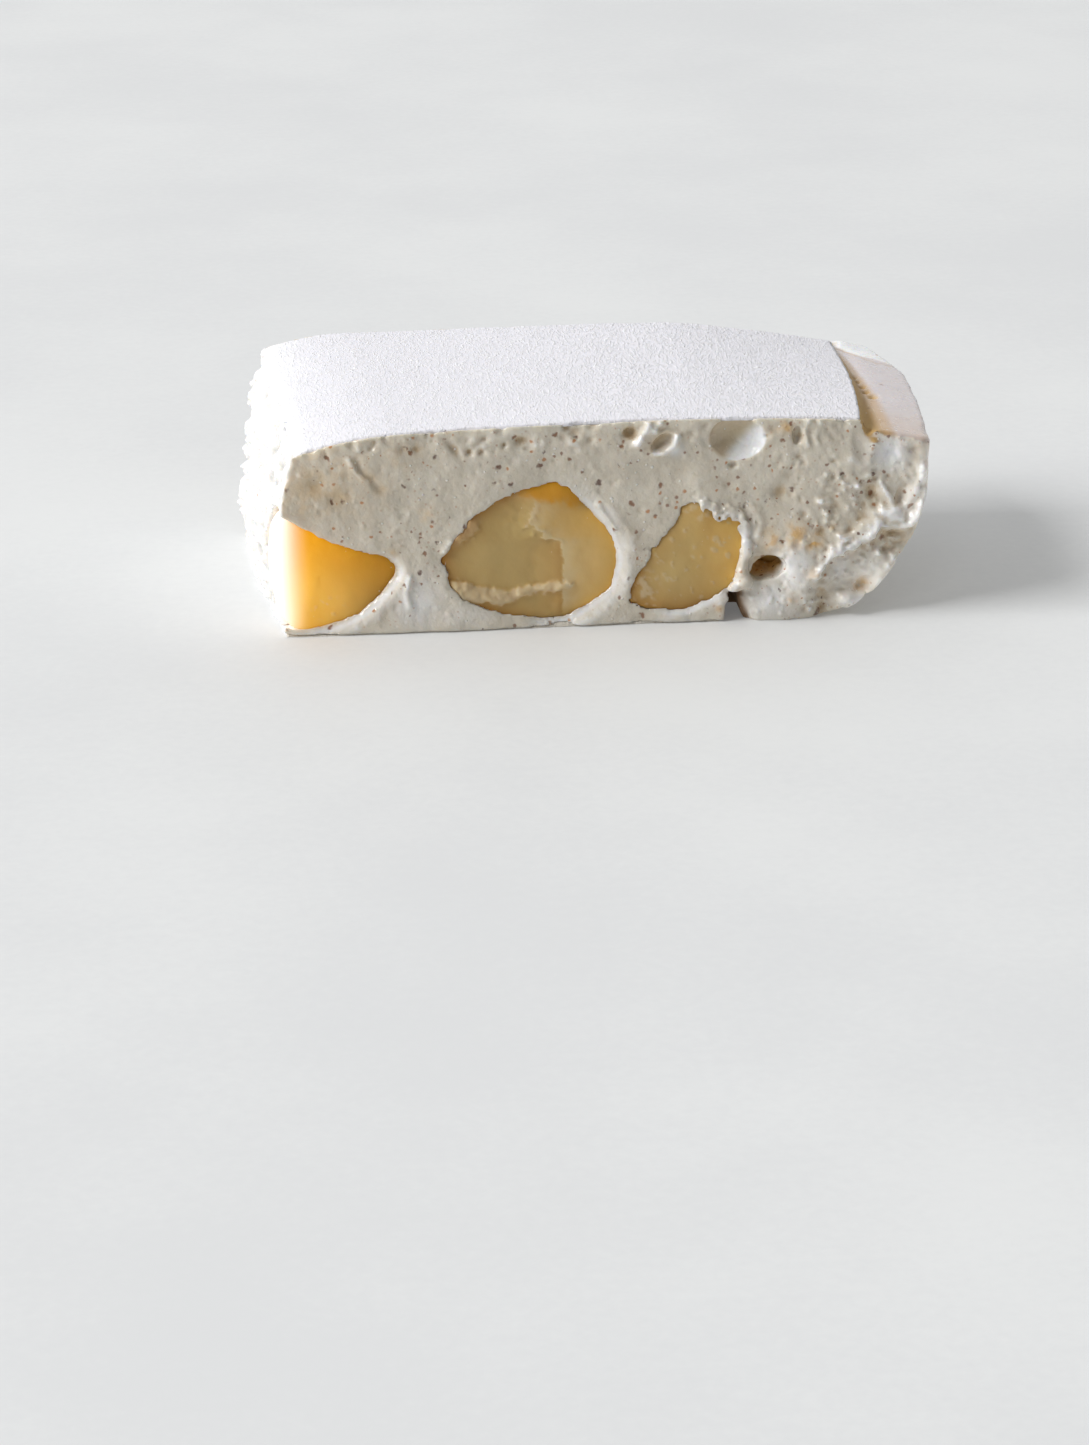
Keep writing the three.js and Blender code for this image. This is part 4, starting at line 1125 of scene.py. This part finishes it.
# Ground vanilla pod in three sizes, and sugar grains that stand out a little and are painted almost white
# as glints.
specked = nodes.mask("specked")
faint_dots, _ = scattered(nodes, 0.62, 0.12, nodes.times(specked, 0.7), 0.15)
colour = nodes.blend(nodes.times(faint_dots, 0.4), colour, linear(188, 146, 112))
brown_dots, brown_shade = scattered(nodes, 0.95, 0.2, nodes.times(specked, 0.7), 0.35)
brown = nodes.blend(nodes.between(brown_shade, 0.4, 0.6), linear(138, 94, 68), linear(186, 122, 64))
colour = nodes.blend(nodes.times(brown_dots, 0.8), colour, brown)
dark_dots, dark_shade = scattered(nodes, 1.5, 0.3, nodes.times(specked, 0.6), 0.6)
dark = nodes.blend(nodes.between(dark_shade, 0.4, 0.6), linear(100, 62, 46), linear(138, 88, 52))
colour = nodes.blend(nodes.times(dark_dots, 0.85), colour, dark)
grains_with_painted_glint, _ = scattered(nodes, 0.9, 0.13, 0.5, 0.2)
colour = nodes.blend(nodes.times(grains_with_painted_glint, 0.7), colour, linear(252, 250, 247))
pores = nodes.add("ShaderNodeTexVoronoi", Vector=nodes.place(), Scale=1500.0)
pore_depth = nodes.between(pores.outputs["Distance"], 0.0, 0.45)
grain = nodes.noise(2200.0, 3.0, 0.6)
height = nodes.math("ADD", nodes.times(pore_depth, 0.35), nodes.times(grain, 0.8))
height = nodes.math("ADD", height, nodes.times(grains_with_painted_glint, 1.2))
height = nodes.math("SUBTRACT", height, nodes.times(dark_dots, 0.3))
smoother_skin = nodes.between(nodes.mask("skin"), 0.0, 1.0, 1.0, 0.15)
height = nodes.times(height, smoother_skin)
bump = nodes.add("ShaderNodeBump", Height=height, Strength=0.5, Distance=0.14 * MM)
gloss = nodes.between(nodes.noise(700.0, 2.0), 0.35, 0.7, 0.14, 0.34)
gloss = nodes.math("MAXIMUM", gloss, nodes.math("MAXIMUM", nodes.mask("painted_olive_shade"), nodes.mask("painted_crack_dark")))
# Painted glow: the thin lobes at the tray end give off a faint light, which stands for light let through.
painted_light = nodes.blend(nodes.mask("thin"), linear(0, 0, 0), linear(255, 246, 230))
shader = nodes.add(
    "ShaderNodeBsdfPrincipled", {"subsurface_method": "RANDOM_WALK"},
    Base_Color=colour, Roughness=gloss, Normal=bump.outputs[0],
    Subsurface_Weight=0.3, Subsurface_Radius=(1.0, 0.75, 0.5), Subsurface_Scale=1.0 * MM,
    Emission_Color=painted_light, Emission_Strength=0.22,
)
nodes.add("ShaderNodeOutputMaterial", Surface=shader.outputs[0])
nougat.data.materials.append(nougat_finish)
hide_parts("nougat")
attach(nougat, "root")


# ---- Rice paper -----------------------------------------------------------------------------------
# Two thin sheets of starch paper that lay under and over the poured nougat and bonded to it. The upper
# one is cut with the bar and stops short of the tray end, the lower one tore off beside the crack.

EDGE_ROUND = 0.3


# A closed sheet of cells from shares along, across and up, put in place by a function.
def sheet_skin(along, across, up, place):
    size = (along + 1, across + 1, up + 1)
    lattice = np.stack(np.meshgrid(*[np.arange(n) for n in size], indexing="ij"), -1).reshape(-1, 3)
    last = np.array([along, across, up])
    on_skin = ((lattice == 0) | (lattice == last)).any(1)
    number = np.full(len(lattice), -1)
    number[on_skin] = np.arange(on_skin.sum())
    number = number.reshape(size)
    shares = lattice[on_skin] / last
    faces = []
    for axis in range(3):
        turned = np.moveaxis(number, (axis, (axis + 1) % 3, (axis + 2) % 3), (0, 1, 2))
        for side in (0, -1):
            layer = turned[side]
            corners = [layer[:-1, :-1], layer[1:, :-1], layer[1:, 1:], layer[:-1, 1:]]
            ring = np.stack(corners, -1).reshape(-1, 4)
            faces.append(ring if side == -1 else ring[:, ::-1])
    points = np.stack(place(*shares.T), 1)
    masks = {
        "painted_left_light": 1.0 - ease(points[:, 0], -33.0, -27.5),
        "smeared": ease(np.abs(points[:, 1]), HALF - 1.3, HALF - 0.6) * (points[:, 2] < 2.0),
        "coarse": ease(points[:, 0], -20.0, 22.0),
    }
    return points, np.concatenate(faces), masks


# Rows of points lie closer together towards both cuts, where the sheet's edge is round.
def crowded(share):
    return 0.5 - 0.5 * np.cos(np.pi * share) * (0.55 + 0.45 * np.abs(np.cos(np.pi * share)))


# How far a round edge has dropped at some distance from the rim.
def rounded_edge(distance):
    inside = np.clip(1.0 - distance / EDGE_ROUND, 0.0, 1.0)
    return EDGE_ROUND * (1.0 - np.sqrt(1.0 - inside**2))


# Both sheets take a share along, across and up, and give the point in mm.
def upper_sheet(u, v, w):
    v = crowded(v)
    y = DEPTH * (v - 0.5)
    torn_edge = 0.3 * rough(0.0, y, 0.0, 1.6, 3, 91) + 0.1
    paper_end = upper_paper_end(y) + 0.08 * rough(0.0, y, 3.0, 1.5, 2, 92)
    x = mix(cut_end(y, CUT_END_TOP) + torn_edge, paper_end, u)
    near = 0.28 + 0.06 * rough(x, 0.0, 0.0, 1.6, 2, 93) + 0.07 * rough(x, 4.0, 0.0, 0.6, 2, 99)
    low = -HALF - front_waves(x, crown(x, y) - 0.5) + near
    high = HALF + back_waves(x, crown(x, y) - 0.5) - near
    y = mix(low, high, v)
    outer = crown(x, y) - 0.04
    waves = 0.03 * rough(x, y, 0.0, 3.0, 3, 94) + 0.012 * rough(x, y, 0.0, 0.5, 2, 95)
    edge = rounded_edge(np.minimum(y - low, high - y))
    from_torn = x - cut_end(y, CUT_END_TOP) - 0.1
    edge = np.maximum(edge, 0.38 * np.clip(1.0 - from_torn / 1.6, 0.0, 1.0) ** 2)
    thickness = PAPER - 0.05
    return x, y, outer - thickness + (thickness - edge + waves) * w


def lower_sheet(u, v, w):
    v = crowded(v)
    y = DEPTH * (v - 0.5)
    torn_edge = 12.1 + 0.7 * lumps(0.0, y, 0.0, 1.5, 5) + 0.2 * rough(0.0, y, 0.0, 0.6, 2, 96)
    x = mix(cut_end(y, 0.0) + 0.4 + 0.2 * rough(0.0, y, 0.0, 1.6, 3, 97), torn_edge, u)
    near = 0.25 + 0.06 * rough(x, 0.0, 0.0, 1.6, 2, 98)
    low = -HALF - front_waves(x, 0.2) + near
    high = HALF + back_waves(x, 0.2) - near
    y = mix(low, high, v)
    thin = ease(np.abs(y), HALF - 0.65, HALF - 0.35)
    return x, y, PAPER * (1.0 - 0.76 * thin) * w


fineness = 1
paper_top = made("rice_paper_top", *sheet_skin(240 // fineness, 130 // fineness, 3, upper_sheet))
paper_bottom = made("rice_paper_bottom", *sheet_skin(160 // fineness, 90 // fineness, 3, lower_sheet))

paper_finish, nodes = material_called("rice_paper")
fibres = []
for turn, scale in ((0.6, 3000.0), (-0.9, 2800.0)):
    drawn_out = nodes.add(
        "ShaderNodeMapping", Vector=nodes.place(), Rotation=(0.0, 0.0, turn), Scale=(1.0, 0.4, 1.0)
    )
    fibres.append(nodes.noise(scale, 3.0, 0.75, drawn_out.outputs[0]))
weave = nodes.math("MAXIMUM", *fibres)
crystals, _ = scattered(nodes, 0.5, 0.13, 0.5, 0.3)
paper_shade = nodes.between(weave, 0.5, 0.72)
colour = nodes.blend(paper_shade, linear(237, 235, 240), linear(255, 255, 255))
colour = nodes.blend(nodes.times(crystals, 0.6), colour, linear(250, 249, 252))
# The left end of the sheets is painted almost white, as light where it falls strongest.
colour = nodes.tinted(colour, [("painted_left_light", 0.9, (253, 253, 253)), ("smeared", 1.0, (226, 219, 206))])
height = nodes.math("ADD", paper_shade, crystals)
height = nodes.times(height, nodes.between(nodes.mask("coarse"), 0.0, 1.0, 1.0, 1.7))
bump = nodes.add("ShaderNodeBump", Height=height, Strength=0.7, Distance=0.1 * MM)
shader = nodes.add(
    "ShaderNodeBsdfPrincipled",
    Base_Color=colour, Roughness=0.6, Specular_IOR_Level=0.35, Normal=bump.outputs[0],
    Subsurface_Weight=0.15, Subsurface_Radius=(1.0, 0.9, 0.8), Subsurface_Scale=0.6 * MM,
)
nodes.add("ShaderNodeOutputMaterial", Surface=shader.outputs[0])
for sheet, node in ((paper_top, "paper_top"), (paper_bottom, "paper_bottom")):
    sheet.data.materials.append(paper_finish)
    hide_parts(node)
    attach(sheet, "root")


# ---- Table, light and camera ----------------------------------------------------------------------
# A plain pale table top, window light from the left and a little behind, and a long lens that looks
# down at the cut face from slightly left of its middle.

table_corners = [(-3.0, -1.5, 0.0), (3.0, -1.5, 0.0), (3.0, 6.0, 0.0), (-3.0, 6.0, 0.0)]
table_mesh = bpy.data.meshes.new("table")
table_mesh.from_pydata(table_corners, [], [(0, 1, 2, 3)])
table = bpy.data.objects.new("table", table_mesh)
bpy.context.scene.collection.objects.link(table)
table_finish, nodes = material_called("table")
cloudy = nodes.noise(14.0, 5.0, 0.6)
speckled = nodes.noise(900.0, 2.0, 0.6)
table_shade = nodes.math("ADD", nodes.times(cloudy, 0.8), nodes.times(speckled, 0.2))
colour = nodes.blend(nodes.between(table_shade, 0.35, 0.65), linear(202, 203, 203), linear(210, 211, 210))
# Its faint light stands for what bright things round it would throw on the piece.
shader = nodes.add(
    "ShaderNodeBsdfPrincipled",
    Base_Color=colour, Roughness=0.7, Emission_Color=(0.99, 1.0, 1.0, 1.0), Emission_Strength=0.12,
)
nodes.add("ShaderNodeOutputMaterial", Surface=shader.outputs[0])
table.data.materials.append(table_finish)

scene = bpy.context.scene
scene.view_settings.view_transform = "Standard"

world = bpy.data.worlds.new("room")
world.use_nodes = True
room = Nodes(world.node_tree)
# The room is bright behind the piece and dark in front of it.
around = room.add("ShaderNodeSeparateXYZ", Vector=room.add("ShaderNodeTexCoord").outputs["Generated"])
to_front = room.between(around.outputs["Y"], -0.25, 0.35, 1.0, 0.0)
air = room.blend(to_front, [0.78, 0.79, 0.8, 1.0], [0.06, 0.057, 0.052, 1.0])
backdrop = world.node_tree.nodes["Background"]
world.node_tree.links.new(air, backdrop.inputs["Color"])
backdrop.inputs["Strength"].default_value = 1.0
scene.world = world


def area_light(name, location, target, size, watts, colour):
    data = bpy.data.lights.new(name, "AREA")
    data.shape = "RECTANGLE"
    data.size, data.size_y = size
    data.energy = watts
    data.color = colour
    light = bpy.data.objects.new(name, data)
    light.location = location
    light.rotation_euler = (Vector(target) - Vector(location)).to_track_quat("-Z", "Y").to_euler()
    scene.collection.objects.link(light)


middle_of_piece = (0.0, 0.0, 0.01)
area_light("window", (-3.0, -0.7, 2.35), middle_of_piece, (2.1, 1.6), 160.0, (0.99, 0.99, 1.0))
area_light("skylight", (-0.9, -2.3, 2.5), middle_of_piece, (0.5, 0.5), 4.0, (0.97, 0.98, 1.0))

camera_data = bpy.data.cameras.new("camera")
camera_data.lens = 99.654
camera_data.sensor_width = 36.0
camera_data.clip_start = 0.01
camera = bpy.data.objects.new("camera", camera_data)
camera.location = (Vector((-44.91, -390.86, 142.14)) - Vector(MIDDLE_OF_BOX)) * MM
to_left, down = math.radians(6.0), math.radians(22.0)
forward = (math.sin(to_left) * math.cos(down), math.cos(to_left) * math.cos(down), -math.sin(down))
camera.rotation_mode = "QUATERNION"
camera.rotation_quaternion = Vector(forward).to_track_quat("-Z", "Y")
scene.collection.objects.link(camera)
scene.camera = camera
